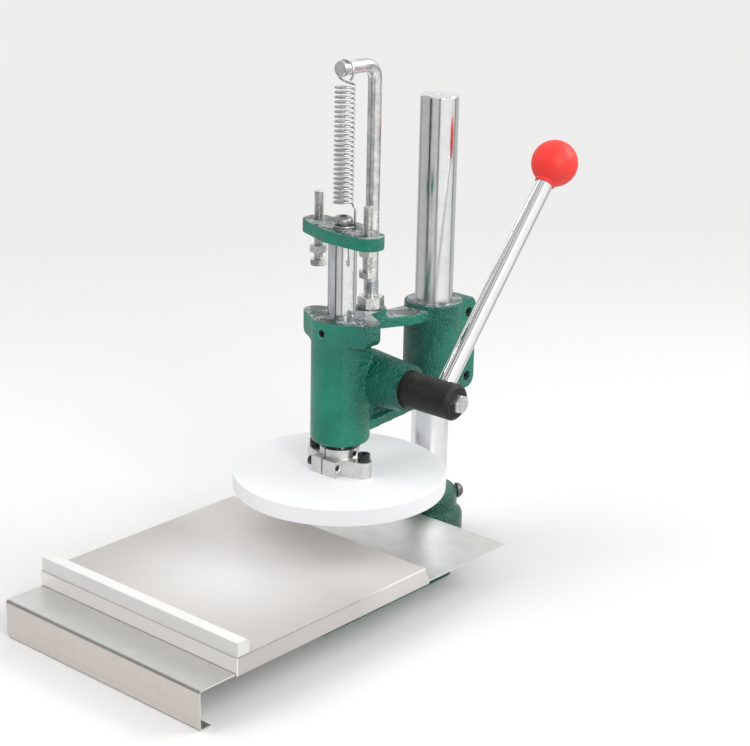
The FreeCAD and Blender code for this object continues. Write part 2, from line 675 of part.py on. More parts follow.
def make_ram():
    """The round ram with its rack, keyway and spigot."""
    bar = rod(RAM_RADIUS, V(0, 0, PLATE_TOP), Z_AXIS, YOKE_BOTTOM - PLATE_TOP)
    spigot = rod(SPIGOT_DIAMETER / 2, V(0, 0, YOKE_BOTTOM - 1), Z_AXIS, YOKE_THICKNESS - SPIGOT_SHORT + 1)
    ram = fuse([bar, spigot])
    low = PINION_Z - (RACK_TEETH_BELOW + 0.5) * TOOTH_PITCH
    high = PINION_Z + (RACK_TEETH_ABOVE + 0.5) * TOOTH_PITCH
    ram = ram.cut(box(-RAM_RADIUS, RAM_RADIUS, RACK_TIP_Y, RAM_RADIUS + 1, low, high))
    gaps = [rack_gap(PINION_Z + i * TOOTH_PITCH) for i in range(-RACK_TEETH_BELOW, RACK_TEETH_ABOVE + 1)]
    ram = ram.cut(Part.makeCompound(gaps))
    keyway_foot = PLATE_TOP + KEYWAY_ABOVE
    ram = ram.cut(box(-KEYWAY_WIDTH / 2, KEYWAY_WIDTH / 2, -RAM_RADIUS - 1, -RAM_RADIUS + KEYWAY_DEPTH,
                      keyway_foot, YOKE_BOTTOM + 1))
    bore_foot = V(0, 0, YOKE_TOP - TOP_SCREW_LENGTH - 1)
    return ram.cut(rod(M10_HEX[0] + SEAT_GAP, bore_foot, Z_AXIS, YOKE_THICKNESS * 2))


def involute_point(base_radius, radius, at_base):
    """A point of one tooth flank, in polar form about the gear's centre."""
    roll = math.sqrt(max((radius / base_radius) ** 2 - 1, 0))
    return radius, at_base - (roll - math.atan(roll))


def tooth_flank():
    """Half a tooth from root to tip as (radius, angle from the tooth's middle)."""
    pressure = math.radians(PRESSURE_ANGLE)
    base_radius = PITCH_RADIUS * math.cos(pressure)
    half_at_pitch = (TOOTH_PITCH / 2 - BACKLASH / 2) / 2 / PITCH_RADIUS
    at_base = half_at_pitch + math.tan(pressure) - pressure
    steps = 5
    points = [(ROOT_RADIUS, at_base)]
    for i in range(steps + 1):
        radius = base_radius + (TIP_RADIUS - base_radius) * i / steps
        points.append(involute_point(base_radius, radius, at_base))
    return points


def gear_point(radius, angle, x):
    """A point of the pinion, with the angle counted from the side that faces the ram."""
    return V(x, PINION_Y - radius * math.cos(angle), PINION_Z + radius * math.sin(angle))


def toothed_length():
    """The pinion's toothed stretch."""
    x = -TOOTHED_LENGTH / 2
    flank = tooth_flank()
    step = 2 * math.pi / PINION_TEETH
    edges = []
    for i in range(PINION_TEETH):
        middle = i * step
        rising = [gear_point(r, middle - a, x) for r, a in flank]
        falling = [gear_point(r, middle + a, x) for r, a in reversed(flank)]
        edges.append(Part.LineSegment(rising[0], rising[1]).toShape())
        for side in (rising[1:], falling[:-1]):
            curve = Part.BSplineCurve()
            curve.interpolate(side)
            edges.append(curve.toShape())
        edges.append(Part.LineSegment(falling[-2], falling[-1]).toShape())
        tip = gear_point(TIP_RADIUS, middle, x)
        edges.append(Part.Arc(rising[-1], tip, falling[0]).toShape())
        root = gear_point(ROOT_RADIUS, middle + step / 2, x)
        following = gear_point(ROOT_RADIUS, middle + step - flank[0][1], x)
        edges.append(Part.Arc(falling[-1], root, following).toShape())
    face = Part.Face(Part.Wire(Part.__sortEdges__(edges)))
    return face.extrude(X_AXIS * TOOTHED_LENGTH)


def on_pinion(x):
    """A point on the pinion's axis."""
    return V(x, PINION_Y, PINION_Z)


def lever_direction():
    """Up the lever at rest."""
    lean = math.radians(LEVER_LEAN)
    return V(0, math.sin(lean), math.cos(lean))


def make_pinion_shaft():
    """Teeth in the middle, a small journal on the far side and the hub on the lever's side."""
    half = TOOTHED_LENGTH / 2
    near = rod(TIP_RADIUS, on_pinion(half), X_AXIS, BOSS_END + FREE_GAP - half)
    hub = rod(HUB_ROD_DIAMETER / 2, on_pinion(BOSS_END), X_AXIS, HUB_END - BOSS_END)
    hub = hub.makeChamfer(HUB_CHAMFER, [edge for edge in hub.Edges if edge.BoundBox.XMin > HUB_END - 0.01])
    far = rod(JOURNAL_DIAMETER / 2, on_pinion(-FAR_BOSS_END), X_AXIS, FAR_BOSS_END - half)
    shaft = fuse([toothed_length(), near, hub, far])
    lever = lever_direction()
    start = V(LEVER_OFFSET, PINION_Y, PINION_Z) - lever * LEVER_TAIL
    shaft = shaft.cut(rod(LEVER_DIAMETER / 2 + SEAT_GAP, start, lever, HUB_ROD_DIAMETER * 2))
    shaft = shaft.cut(rod(M10_BIG[0] + SEAT_GAP, on_pinion(LEVER_OFFSET), X_AXIS, HUB_END))
    return shaft.cut(rod(M8_CAP[0] + SEAT_GAP, on_pinion(-FAR_BOSS_END - 1), X_AXIS, FAR_BOSS_END - half))


def make_pinion_bush():
    """The bush round the far journal."""
    inner = JOURNAL_DIAMETER / 2 + RUN_GAP
    start = on_pinion(-FAR_BOSS_END)
    length = FAR_BOSS_END - TOOTHED_LENGTH / 2 - FREE_GAP
    return rod(inner + BUSH_WALL, start, X_AXIS, length).cut(rod(inner, start - X_AXIS, X_AXIS, length + 2))


def make_pinion_end_washer():
    """The washer that keeps the pinion from sliding out."""
    start = on_pinion(-FAR_BOSS_END - FREE_GAP)
    washer = rod(END_WASHER_DIAMETER / 2, start, -X_AXIS, END_WASHER_THICKNESS)
    return washer.cut(rod(M8_CAP[0] + SEAT_GAP, start + X_AXIS, -X_AXIS, END_WASHER_THICKNESS + 2))


def make_pinion_end_screw():
    """The screw through that washer."""
    base = on_pinion(-FAR_BOSS_END - FREE_GAP - END_WASHER_THICKNESS)
    return cap_screw(M8_CAP, base, -X_AXIS, END_WASHER_THICKNESS + 14, 6.0)


def make_lever_rod():
    """The lever, seated across the hub."""
    lever = lever_direction()
    start = V(LEVER_OFFSET, PINION_Y, PINION_Z) - lever * (LEVER_TAIL - SEAT_GAP)
    length = LEVER_LENGTH - BALL_DIAMETER / 2 + BALL_SOCKET + LEVER_TAIL - 2 * SEAT_GAP
    return rod(LEVER_DIAMETER / 2, start, lever, length)


def make_lever_clamp_bolt():
    """The bolt in the hub's end that presses on the lever."""
    shank = HUB_END - LEVER_OFFSET - LEVER_DIAMETER / 2 - SEAT_GAP
    return hex_bolt(M10_BIG, on_pinion(HUB_END), X_AXIS, shank)


def make_ball_knob():
    """The ball, with a short neck where the lever enters."""
    lever = lever_direction()
    centre = V(LEVER_OFFSET, PINION_Y, PINION_Z) + lever * LEVER_LENGTH
    radius = BALL_DIAMETER / 2
    ball = Part.makeSphere(radius)
    ball.translate(centre)
    neck = rod(BALL_NECK_DIAMETER / 2, centre - lever * (radius + BALL_NECK), lever, radius)
    socket = rod(LEVER_DIAMETER / 2 + SEAT_GAP, centre - lever * (radius + BALL_NECK + 1), lever,
                 BALL_NECK + 1 + BALL_SOCKET)
    return fuse([ball, neck]).cut(socket)


def housing_part():
    """The ram's housing, rounded at its foot."""
    body = rod(HOUSING_DIAMETER / 2, V(0, 0, HOUSING_BOTTOM), Z_AXIS, HOUSING_HEIGHT)
    foot = [edge for edge in body.Edges if edge.BoundBox.ZMax < HOUSING_BOTTOM + 0.01]
    return body.makeFillet(HOUSING_ROUND, foot)


def ears_part():
    """The two ears that the stop bolts land on, tangent to the housing and thinner at their tips."""
    radius, tip, root = HOUSING_DIAMETER / 2, HOUSING_TOP - EAR_TIP, HOUSING_TOP - EAR_ROOT
    profile = [(-EAR_REACH, HOUSING_TOP), (EAR_REACH, HOUSING_TOP), (EAR_REACH, tip), (radius, root),
               (-radius, root), (-EAR_REACH, tip)]
    outline = rounded_outline([(V(x, -radius, z), 0) for x, z in profile])
    half = EAR_WIDTH / 2
    plan = link_prism(EAR_REACH - half, half, radius - FREE_GAP, root, HOUSING_TOP)
    return outline.extrude(Y_AXIS * HOUSING_DIAMETER).common(plan)


def boss_part():
    """The pinion's boss, with its plainer end on the far side."""
    root = HOUSING_DIAMETER / 3
    near = Part.makeCone(
        BOSS_ROOT_DIAMETER / 2, BOSS_END_DIAMETER / 2, BOSS_END - root, on_pinion(root), X_AXIS
    )
    middle = rod(BOSS_ROOT_DIAMETER / 2, on_pinion(0), X_AXIS, root)
    far = rod(FAR_BOSS_DIAMETER / 2, on_pinion(-FAR_BOSS_END), X_AXIS, FAR_BOSS_END)
    rim = [edge for edge in near.Edges if edge.BoundBox.XMin > BOSS_END - 0.01]
    return [near.makeFillet(1.5, rim), middle, far]


def arm_parts():
    """The seat behind the ram, and the arm that falls from it to the clamp."""
    low = HOUSING_TOP - SEAT_THICKNESS
    half = SEAT_DIAMETER / 2
    seat = [rod(half, V(0, SPRING_ROD_REACH, low), Z_AXIS, SEAT_THICKNESS),
            box(-half, half, 0, SPRING_ROD_REACH, low, HOUSING_TOP)]
    end = COLUMN_REACH - CLAMP_DIAMETER / 4
    fall = [(0, ARM_START * 0.5), (SPRING_ROD_REACH, ARM_START),
            (ARM_KNEE, ARM_KNEE_DROP), (end, ARM_END_DROP)]
    top = [(y, HOUSING_TOP - drop, 0) for y, drop in fall]
    under = [(y, z - ARM_THICKNESS, 0) for y, z, _ in reversed(top)]
    return seat + [yz_prism(top + under, ARM_WIDTH / 2)]


def web_parts():
    """The thin web under the arm and the rim along its lower edge."""
    end = COLUMN_REACH - CLAMP_DIAMETER / 4
    low, high = HOUSING_BOTTOM + HOUSING_ROUND, CLAMP_BOTTOM + 1
    top = HOUSING_BOTTOM + WEB_TOP
    web = yz_prism([(0, low, 0), (end, high, 0), (end, top, 0), (0, top, 0)], WEB_THICKNESS / 2)
    thick = RIM_THICKNESS
    rim = yz_prism([(0, low, 0), (end, high, 0), (end, high + thick, 0), (0, low + thick, 0)], RIM_WIDTH / 2)
    return [web, rim]


def clamp_parts():
    """The split clamp round the column, with its two ears behind."""
    ring = rod(CLAMP_DIAMETER / 2, on_column(CLAMP_BOTTOM), Z_AXIS, CLAMP_HEIGHT)
    rims = [edge for edge in ring.Edges if edge.Curve.TypeId == "Part::GeomCircle"]
    ring = ring.makeFillet(CLAMP_ROUND, rims)
    low, high = CLAMP_BOTTOM + CLAMP_EAR_TRIM, CLAMP_TOP - CLAMP_EAR_TRIM / 2
    back = COLUMN_REACH + CLAMP_EAR_REACH
    ears = yz_prism([(COLUMN_REACH, low, 0), (back, low, CLAMP_EAR_CORNER), (back, high, CLAMP_EAR_CORNER),
                     (COLUMN_REACH, high, 0)], CLAMP_EAR_WIDTH / 2)
    return [ring, ears]


def column_screw_points():
    """Where the clamp screws' axes cross the clamp's middle plane."""
    low = CLAMP_BOTTOM + COLUMN_SCREW_LIFT
    return [V(0, COLUMN_REACH + COLUMN_SCREW_REACH, low + i * COLUMN_SCREW_SPACING) for i in range(2)]


def guide_screw_height():
    """The guide screw's axis."""
    return HOUSING_TOP - GUIDE_SCREW_DROP


def make_head_casting():
    """Housing, ears, boss, arm, web and column clamp, with their bores."""
    head = fuse([housing_part(), ears_part()] + arm_parts() + boss_part() + web_parts() + clamp_parts())
    seat_foot = V(0, SPRING_ROD_REACH, HOUSING_TOP - SEAT_THICKNESS - 5)
    bores = [
        rod(RAM_RADIUS + RUN_GAP, V(0, 0, HOUSING_BOTTOM - 1), Z_AXIS, HOUSING_HEIGHT + 2),
        rod(COLUMN_RADIUS + RUN_GAP, on_column(CLAMP_BOTTOM - 1), Z_AXIS, CLAMP_HEIGHT + 2),
        rod(TIP_RADIUS + RUN_GAP, on_pinion(-TOOTHED_LENGTH / 2 - FREE_GAP), X_AXIS, BOSS_END * 2),
        rod(JOURNAL_DIAMETER / 2 + RUN_GAP + BUSH_WALL + SEAT_GAP, on_pinion(-FAR_BOSS_END - 1), X_AXIS,
            FAR_BOSS_END),
        rod(SPRING_ROD_THREAD / 2 + SEAT_GAP, seat_foot, Z_AXIS, SEAT_THICKNESS + 10),
        rod(M8_GRUB[0] + SEAT_GAP, V(0, 0, guide_screw_height()), -Y_AXIS, HOUSING_DIAMETER),
    ]
    back = COLUMN_REACH + CLAMP_EAR_REACH + 1
    slit = COLUMN_SLIT / 2
    bores.append(box(-slit, slit, COLUMN_REACH, back, CLAMP_BOTTOM - 1, CLAMP_TOP + 1))
    half = CLAMP_EAR_WIDTH / 2
    for point in column_screw_points():
        bores.append(rod(M6_CAP[0] + SEAT_GAP, point - X_AXIS * (half + 1), X_AXIS, CLAMP_EAR_WIDTH + 2))
        seat = point + X_AXIS * (half - COUNTERBORE)
        bores.append(rod(M6_CAP[1] / 2 + SEAT_GAP * 8, seat, X_AXIS, COUNTERBORE + 1))
    for bore in bores:
        head = head.cut(bore)
    return head


def make_clamp_screws():
    """The two screws that close the column clamp."""
    seat = CLAMP_EAR_WIDTH / 2 - COUNTERBORE
    shank = seat + CLAMP_EAR_WIDTH / 2 - 2
    return [cap_screw(M6_CAP, point + X_AXIS * seat, X_AXIS, shank, 5.0) for point in column_screw_points()]


def make_ram_guide_screw():
    """The grub screw whose nose runs in the ram's keyway."""
    outside = HOUSING_DIAMETER / 2 - 1
    length = outside - RAM_RADIUS - FREE_GAP
    body = grub_screw(M8_GRUB, V(0, -outside, guide_screw_height()), Y_AXIS, length)
    nose_radius = KEYWAY_WIDTH / 2 - FREE_GAP
    nose_tip = RAM_RADIUS - KEYWAY_DEPTH + FREE_GAP
    nose = rod(nose_radius, V(0, -RAM_RADIUS - 1, guide_screw_height()), Y_AXIS, RAM_RADIUS + 1 - nose_tip)
    return fuse([body, nose])


def make_spring_rod():
    """The bent rod: threaded foot, tall leg, bend, and an arm with a groove near its tip."""
    radius, bend = SPRING_ROD_DIAMETER / 2, SPRING_ARM_BEND
    foot = V(0, SPRING_ROD_REACH, HOUSING_TOP - SPRING_ROD_TAIL)
    bend_z = ARM_AXIS_Z - bend
    thread = rod(SPRING_ROD_THREAD / 2, foot, Z_AXIS, SPRING_ROD_TAIL + SPRING_ROD_THREAD_TOP)
    leg = rod(radius, foot, Z_AXIS, bend_z - foot.z)
    ring = Part.Face(Part.Wire(Part.makeCircle(radius, V(0, SPRING_ROD_REACH, bend_z), Z_AXIS)))
    corner = ring.revolve(V(0, SPRING_ROD_REACH - bend, bend_z), X_AXIS, 90)
    arm_start = V(0, SPRING_ROD_REACH - bend, ARM_AXIS_Z)
    arm = rod(radius, arm_start, -Y_AXIS, arm_start.y + SPRING_ARM_TIP)
    head = rod(SPRING_ARM_HEAD_DIAMETER / 2, V(0, -SPRING_ARM_TIP, ARM_AXIS_Z), Y_AXIS, SPRING_ARM_HEAD)
    groove_start = V(0, -SPRING_ARM_TIP + SPRING_ARM_HEAD, ARM_AXIS_Z)
    groove = rod(radius + 2, groove_start, Y_AXIS, SPRING_GROOVE)
    groove = groove.cut(rod(SPRING_GROOVE_DIAMETER / 2, groove_start - Y_AXIS, Y_AXIS, SPRING_GROOVE + 2))
    return fuse([thread, leg, corner, arm, head]).cut(groove)


def make_spring_rod_nut():
    """The lock nut on the arm."""
    return nut(M16_NUT, V(0, SPRING_ROD_REACH, HOUSING_TOP), Z_AXIS, 20.0)


def biarc(start, start_way, end, end_way):
    """Two tangent arcs between two points with given directions."""
    gap = end - start
    ways = start_way + end_way
    a = 2 * (1 - start_way.dot(end_way))
    b = 2 * gap.dot(ways)
    c = -gap.dot(gap)
    reach = -c / b if abs(a) < 1e-9 else (-b + math.sqrt(b * b - 4 * a * c)) / (2 * a)
    first_corner = start + start_way * reach
    last_corner = end - end_way * reach
    joint = (first_corner + last_corner) * 0.5
    return [one_arc(start, first_corner, joint), one_arc(joint, last_corner, end)]


def one_arc(start, corner, end):
    """The arc that touches both legs of a corner."""
    half = math.pi / 2 - (start - corner).getAngle(end - corner) / 2
    middle = (start + end) * 0.5
    if half < 1e-4:
        return Part.LineSegment(start, end).toShape()
    share = math.cos(half) / (1 + math.cos(half))
    return Part.Arc(start, middle + (corner - middle) * share, end).toShape()


def coil_point(turn, foot):
    """A point of the coil and its direction, after so many turns."""
    angle = math.radians(COIL_START) + 2 * math.pi * turn
    point = V(COIL_RADIUS * math.cos(angle), COIL_RADIUS * math.sin(angle), foot + COIL_PITCH * turn)
    way = V(-math.sin(angle), math.cos(angle), COIL_PITCH / (2 * math.pi * COIL_RADIUS)).normalize()
    return point, way


def eye_point(angle, centre):
    """A point of the flat eye at the spring's foot, which runs clockwise."""
    point = centre + V(EYE_RADIUS * math.cos(angle), EYE_RADIUS * math.sin(angle), 0)
    return point, V(math.sin(angle), -math.cos(angle), 0)


def eye_stations():
    """The eye round the top screw and the leg that rises from it."""
    last = math.radians(COIL_START)
    outward = V(math.cos(last), math.sin(last), 0)
    centre = outward * EYE_OFFSET + V(0, 0, EYE_Z)
    sweep = math.radians(EYE_SWEEP)
    pieces = 4
    stations = []
    first, way = eye_point(last + sweep, centre)
    stations.append((first - way * EYE_TAIL, way))
    for i in range(pieces + 1):
        stations.append(eye_point(last + sweep * (1 - i / pieces), centre))
    end, way = stations[-1]
    bend = way * EYE_BEND + Z_AXIS * EYE_BEND
    stations.append((end + bend, Z_AXIS))
    stations.append((end + way * EYE_BEND + Z_AXIS * (COIL_FOOT - EYE_BEND * 1.5), Z_AXIS))
    return stations


def hook_stations():
    """The open hook over the rod's arm, in the plane across the arm."""
    centre_z = ARM_AXIS_Z + SPRING_GROOVE_DIAMETER / 2 + WIRE / 2 + SEAT_GAP - HOOK_RADIUS
    plane_y = -SPRING_ARM_TIP + SPRING_ARM_HEAD + SPRING_GROOVE / 2
    stations = []
    pieces = 3
    first = 215.0
    for i in range(pieces + 1):
        angle = math.radians(first + (HOOK_END - first) * i / pieces)
        point = V(HOOK_RADIUS * math.cos(angle), plane_y, centre_z + HOOK_RADIUS * math.sin(angle))
        stations.append((point, V(math.sin(angle), 0, -math.cos(angle))))
    return stations


def spring_stations():
    """Points and directions along the whole wire, from the eye's tail to the hook's tip."""
    foot = EYE_Z + COIL_FOOT
    quarters = int(round(COIL_TURNS * 4))
    coil = [coil_point(i / 4, foot) for i in range(quarters + 1)]
    return eye_stations() + coil + hook_stations()


def least_gap(edges):
    """The smallest gap between the wire and itself, measured on points along it."""
    points = []
    run = 0.0
    for edge in edges:
        steps = max(2, int(edge.Length / 1.5))
        for value in edge.discretize(steps + 1)[:-1]:
            points.append((run, value))
            run += edge.Length / steps
    least = 1e9
    for i in range(0, len(points), 2):
        for j in range(i + 1, len(points)):
            if points[j][0] - points[i][0] > 6 * WIRE:
                least = min(least, points[i][1].distanceToPoint(points[j][1]))
            if points[j][0] - points[i][0] > 90:
                break
    return least - WIRE


def make_return_spring():
    """The spring as one unbroken wire."""
    stations = spring_stations()
    edges = []
    for (start, start_way), (end, end_way) in zip(stations, stations[1:]):
        edges.extend(biarc(start, start_way, end, end_way))
    tightest = min(edge.Curve.Radius for edge in edges if edge.Curve.TypeId == "Part::GeomCircle")
    print("return_spring: least gap %.2f mm, tightest bend %.2f mm" % (least_gap(edges), tightest))
    path = Part.Wire(edges)
    section = Part.Wire(Part.makeCircle(WIRE / 2, stations[0][0], stations[0][1]))
    return path.makePipeShell([section], True, False)


def make_yoke():
    """The cross bar, turned a little on the ram."""
    yoke = link_prism(YOKE_REACH, YOKE_END_RADIUS, YOKE_MIDDLE_RADIUS, YOKE_BOTTOM, YOKE_TOP)
    rims = [edge for edge in yoke.Edges if edge.BoundBox.ZLength < 0.01]
    yoke = yoke.makeFillet(YOKE_EDGE, rims)
    yoke.rotate(V(0, 0, 0), Z_AXIS, YOKE_TURN)
    bore_foot = V(0, 0, YOKE_BOTTOM - 1)
    yoke = yoke.cut(rod(SPIGOT_DIAMETER / 2 + SEAT_GAP, bore_foot, Z_AXIS, YOKE_THICKNESS + 2))
    for side in (-1, 1):
        hole = rod(M10_HEX[0] + RUN_GAP, stop_point(side, YOKE_BOTTOM - 1), Z_AXIS, YOKE_THICKNESS + 2)
        yoke = yoke.cut(hole)
    return yoke


def stop_point(side, z):
    """A point on a stop bolt's axis."""
    turn = math.radians(YOKE_TURN)
    return V(side * YOKE_REACH * math.cos(turn), side * YOKE_REACH * math.sin(turn), z)


def make_stop_bolt(side, height):
    """A stop bolt: its head hangs under the yoke, its thread comes up through it."""
    head_top = HOUSING_TOP + height + M10_HEX[2]
    return hex_bolt(M10_HEX, stop_point(side, head_top), -Z_AXIS, STOP_BOLT_TOP - head_top, 15.0)


def make_stop_nut(side, drop):
    """A stop bolt's lock nut, so far under the yoke."""
    return nut(M10_NUT, stop_point(side, YOKE_BOTTOM - drop - M10_NUT[2]), Z_AXIS, 40.0)


def make_ram_top_screw():
    """The round-headed screw: a neck for the spring's eye under a domed head."""
    radius, neck_r = M10_HEX[0], TOP_SCREW_NECK_DIAMETER / 2
    head_r = TOP_SCREW_HEAD_DIAMETER / 2
    under = YOKE_TOP + TOP_SCREW_NECK
    top = under + TOP_SCREW_HEAD
    spigot_top = YOKE_TOP - SPIGOT_SHORT
    rim = under + TOP_SCREW_RIM
    dome = quarter_bulge(head_r, rim, TOP_SCREW_KEY / 2, top)
    screw = turned(
        [(0, YOKE_TOP - TOP_SCREW_LENGTH), (radius, YOKE_TOP - TOP_SCREW_LENGTH), (radius, spigot_top),
         (neck_r, spigot_top), (neck_r, under), (head_r, under), (head_r, rim, dome),
         (TOP_SCREW_KEY / 2, top), (0, top)], V(0, 0, 0)
    )
    return screw.cut(hexagon(TOP_SCREW_KEY, V(0, 0, top - TOP_SCREW_SOCKET), Z_AXIS, TOP_SCREW_HEAD))


def build():
    """Every piece by name."""
    return {
        "base_casting": make_base_casting(),
        "base_lock_bolt": make_base_lock_bolt(),
        "tray_sheet": make_tray_sheet(),
        "tray_screws": make_tray_screws(),
        "column": make_column(),
        "head_casting": make_head_casting(),
        "clamp_screws": make_clamp_screws(),
        "ram_guide_screw": make_ram_guide_screw(),
        "spring_rod": make_spring_rod(),
        "spring_rod_nut": make_spring_rod_nut(),
        "return_spring": make_return_spring(),
        "pinion_bush": make_pinion_bush(),
        "ram": make_ram(),
        "yoke": make_yoke(),
        "ram_top_screw": make_ram_top_screw(),
        "collar": make_collar(),
        "collar_clamp_screw": make_collar_clamp_screw(),
        "collar_grub_screw": make_collar_grub_screw(),
        "collar_plate_screws": make_collar_plate_screws(),
        "upper_plate": make_upper_plate(),
        "stop_bolt_left": make_stop_bolt(-1, LEFT_STOP_HEIGHT),
        "stop_nut_left": make_stop_nut(-1, LEFT_NUT_DROP),
        "stop_bolt_right": make_stop_bolt(1, RIGHT_STOP_HEIGHT),
        "stop_nut_right": make_stop_nut(1, 0.0),
        "pinion_shaft": make_pinion_shaft(),
        "pinion_end_washer": make_pinion_end_washer(),
        "pinion_end_screw": make_pinion_end_screw(),
        "lever_rod": make_lever_rod(),
        "lever_clamp_bolt": make_lever_clamp_bolt(),
        "ball_knob": make_ball_knob(),
        "lower_die": make_lower_die(),
        "die_core": make_die_core(),
        "pull_bar": make_pull_bar(),
        "pull_bar_screws": make_pull_bar_screws(),
    }


def main():
    """Write one STEP file for each piece."""
    os.makedirs("parts", exist_ok=True)
    for name, made in build().items():
        shape = Part.makeCompound(made) if isinstance(made, list) else made
        solids = shape.Solids
        if len(solids) == 1:
            shape = solids[0]
        shape.exportStep("parts/%s.step" % name)
        print("%-22s %d solid(s), %.1f cm3, valid %s"
              % (name, len(solids), shape.Volume / 1000, shape.isValid()))


main()
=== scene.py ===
"""Looks of a rack-and-pinion bench press for pizza dough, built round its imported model.

Pieces are modelled on the bench in millimetres, in the part's own frame, and brought to metres when they are
finished: the origin is on the bench under the ram's axis, +Z is up, +X is the lever's side, +Y the column's side.
"""
import logging
import math
from dataclasses import dataclass
from enum import Enum
from functools import reduce
from typing import Callable, Sequence, Union

import bmesh
import bpy
from mathutils import Matrix, Vector


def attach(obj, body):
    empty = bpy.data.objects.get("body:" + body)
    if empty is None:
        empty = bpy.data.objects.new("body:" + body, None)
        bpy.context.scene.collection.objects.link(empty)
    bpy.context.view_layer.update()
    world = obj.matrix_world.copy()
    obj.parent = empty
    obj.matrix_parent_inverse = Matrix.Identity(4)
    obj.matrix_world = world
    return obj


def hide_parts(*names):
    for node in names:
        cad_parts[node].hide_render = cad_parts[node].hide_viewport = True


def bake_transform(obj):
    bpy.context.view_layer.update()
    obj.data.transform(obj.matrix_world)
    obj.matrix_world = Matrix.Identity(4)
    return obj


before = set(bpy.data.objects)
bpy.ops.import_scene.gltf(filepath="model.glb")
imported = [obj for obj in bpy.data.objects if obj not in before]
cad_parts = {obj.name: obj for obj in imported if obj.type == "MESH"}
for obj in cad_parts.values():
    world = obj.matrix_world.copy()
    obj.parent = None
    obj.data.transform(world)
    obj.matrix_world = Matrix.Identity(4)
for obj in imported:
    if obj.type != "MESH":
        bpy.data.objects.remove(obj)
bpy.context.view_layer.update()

MM = 0.001
IMAGE_WIDTH = 750
X_AXIS = Vector((1, 0, 0))
Y_AXIS = Vector((0, 1, 0))
Z_AXIS = Vector((0, 0, 1))
SMOOTH_ANGLE = math.radians(35)
ORIGIN = (0.0, 0.0, 0.0)
EVEN = (1.0, 1.0, 1.0)
SIDES = (-1, 1)

# Places in millimetres that several groups share.
COLUMN_Y = 145.5
ROD_Y = 44.0
PINION_Y = 27.0
PINION_Z = 216.0
HEAD_TOP = 283.0
PLATE_TOP = 119.0

# Radii in millimetres of the screws' shanks and of the holes and bores that they and the bars sit in.
M6_SHANK, M6_HOLE = 2.95, 3.05
M8_SHANK, M8_HOLE = 3.95, 4.05
M10_SHANK, M10_HOLE = 4.9, 5.05
RAM_BORE, COLUMN_BORE = 14.55, 20.05

# Depth in metres of the lines in drawn or turned metal, at full relief.
LINE_DEPTH = 0.0004

log = logging.getLogger("dough_press")

Colour = tuple[float, float, float, float]
Pair = tuple[float, float]
Triple = tuple[float, float, float]
Point = Sequence[float]
Tree = bpy.types.NodeTree
Node = bpy.types.Node
Outputs = bpy.types.bpy_prop_collection
Socket = bpy.types.NodeSocket
EdgeTest = Callable[[bmesh.types.BMEdge], bool]
Value = Union[Socket, float, Point]


class Body(Enum):
    """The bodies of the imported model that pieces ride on."""

    STAND = "stand"
    HEAD = "head"
    RAM = "ram"
    LEVER = "lever"
    DRAWER = "drawer"


class Pick(Enum):
    """What an edit-mode tool works on."""

    VERT = "VERT"
    EDGE = "EDGE"
    FACE = "FACE"


class Operation(Enum):
    """How one solid changes another."""

    CUT = "DIFFERENCE"
    WELD = "UNION"
    KEEP = "INTERSECT"


def srgb(red: float, green: float, blue: float) -> Colour:
    """A colour as it reads on screen, made linear.

    Args:
        red: Red from 0 to 255.
        green: Green from 0 to 255.
        blue: Blue from 0 to 255.

    Returns:
        The linear colour with full alpha.
    """
    def linear(part: float) -> float:
        """One channel made linear."""
        share = part / 255
        return share / 12.92 if share <= 0.04045 else ((share + 0.055) / 1.055) ** 2.4

    return linear(red), linear(green), linear(blue), 1.0


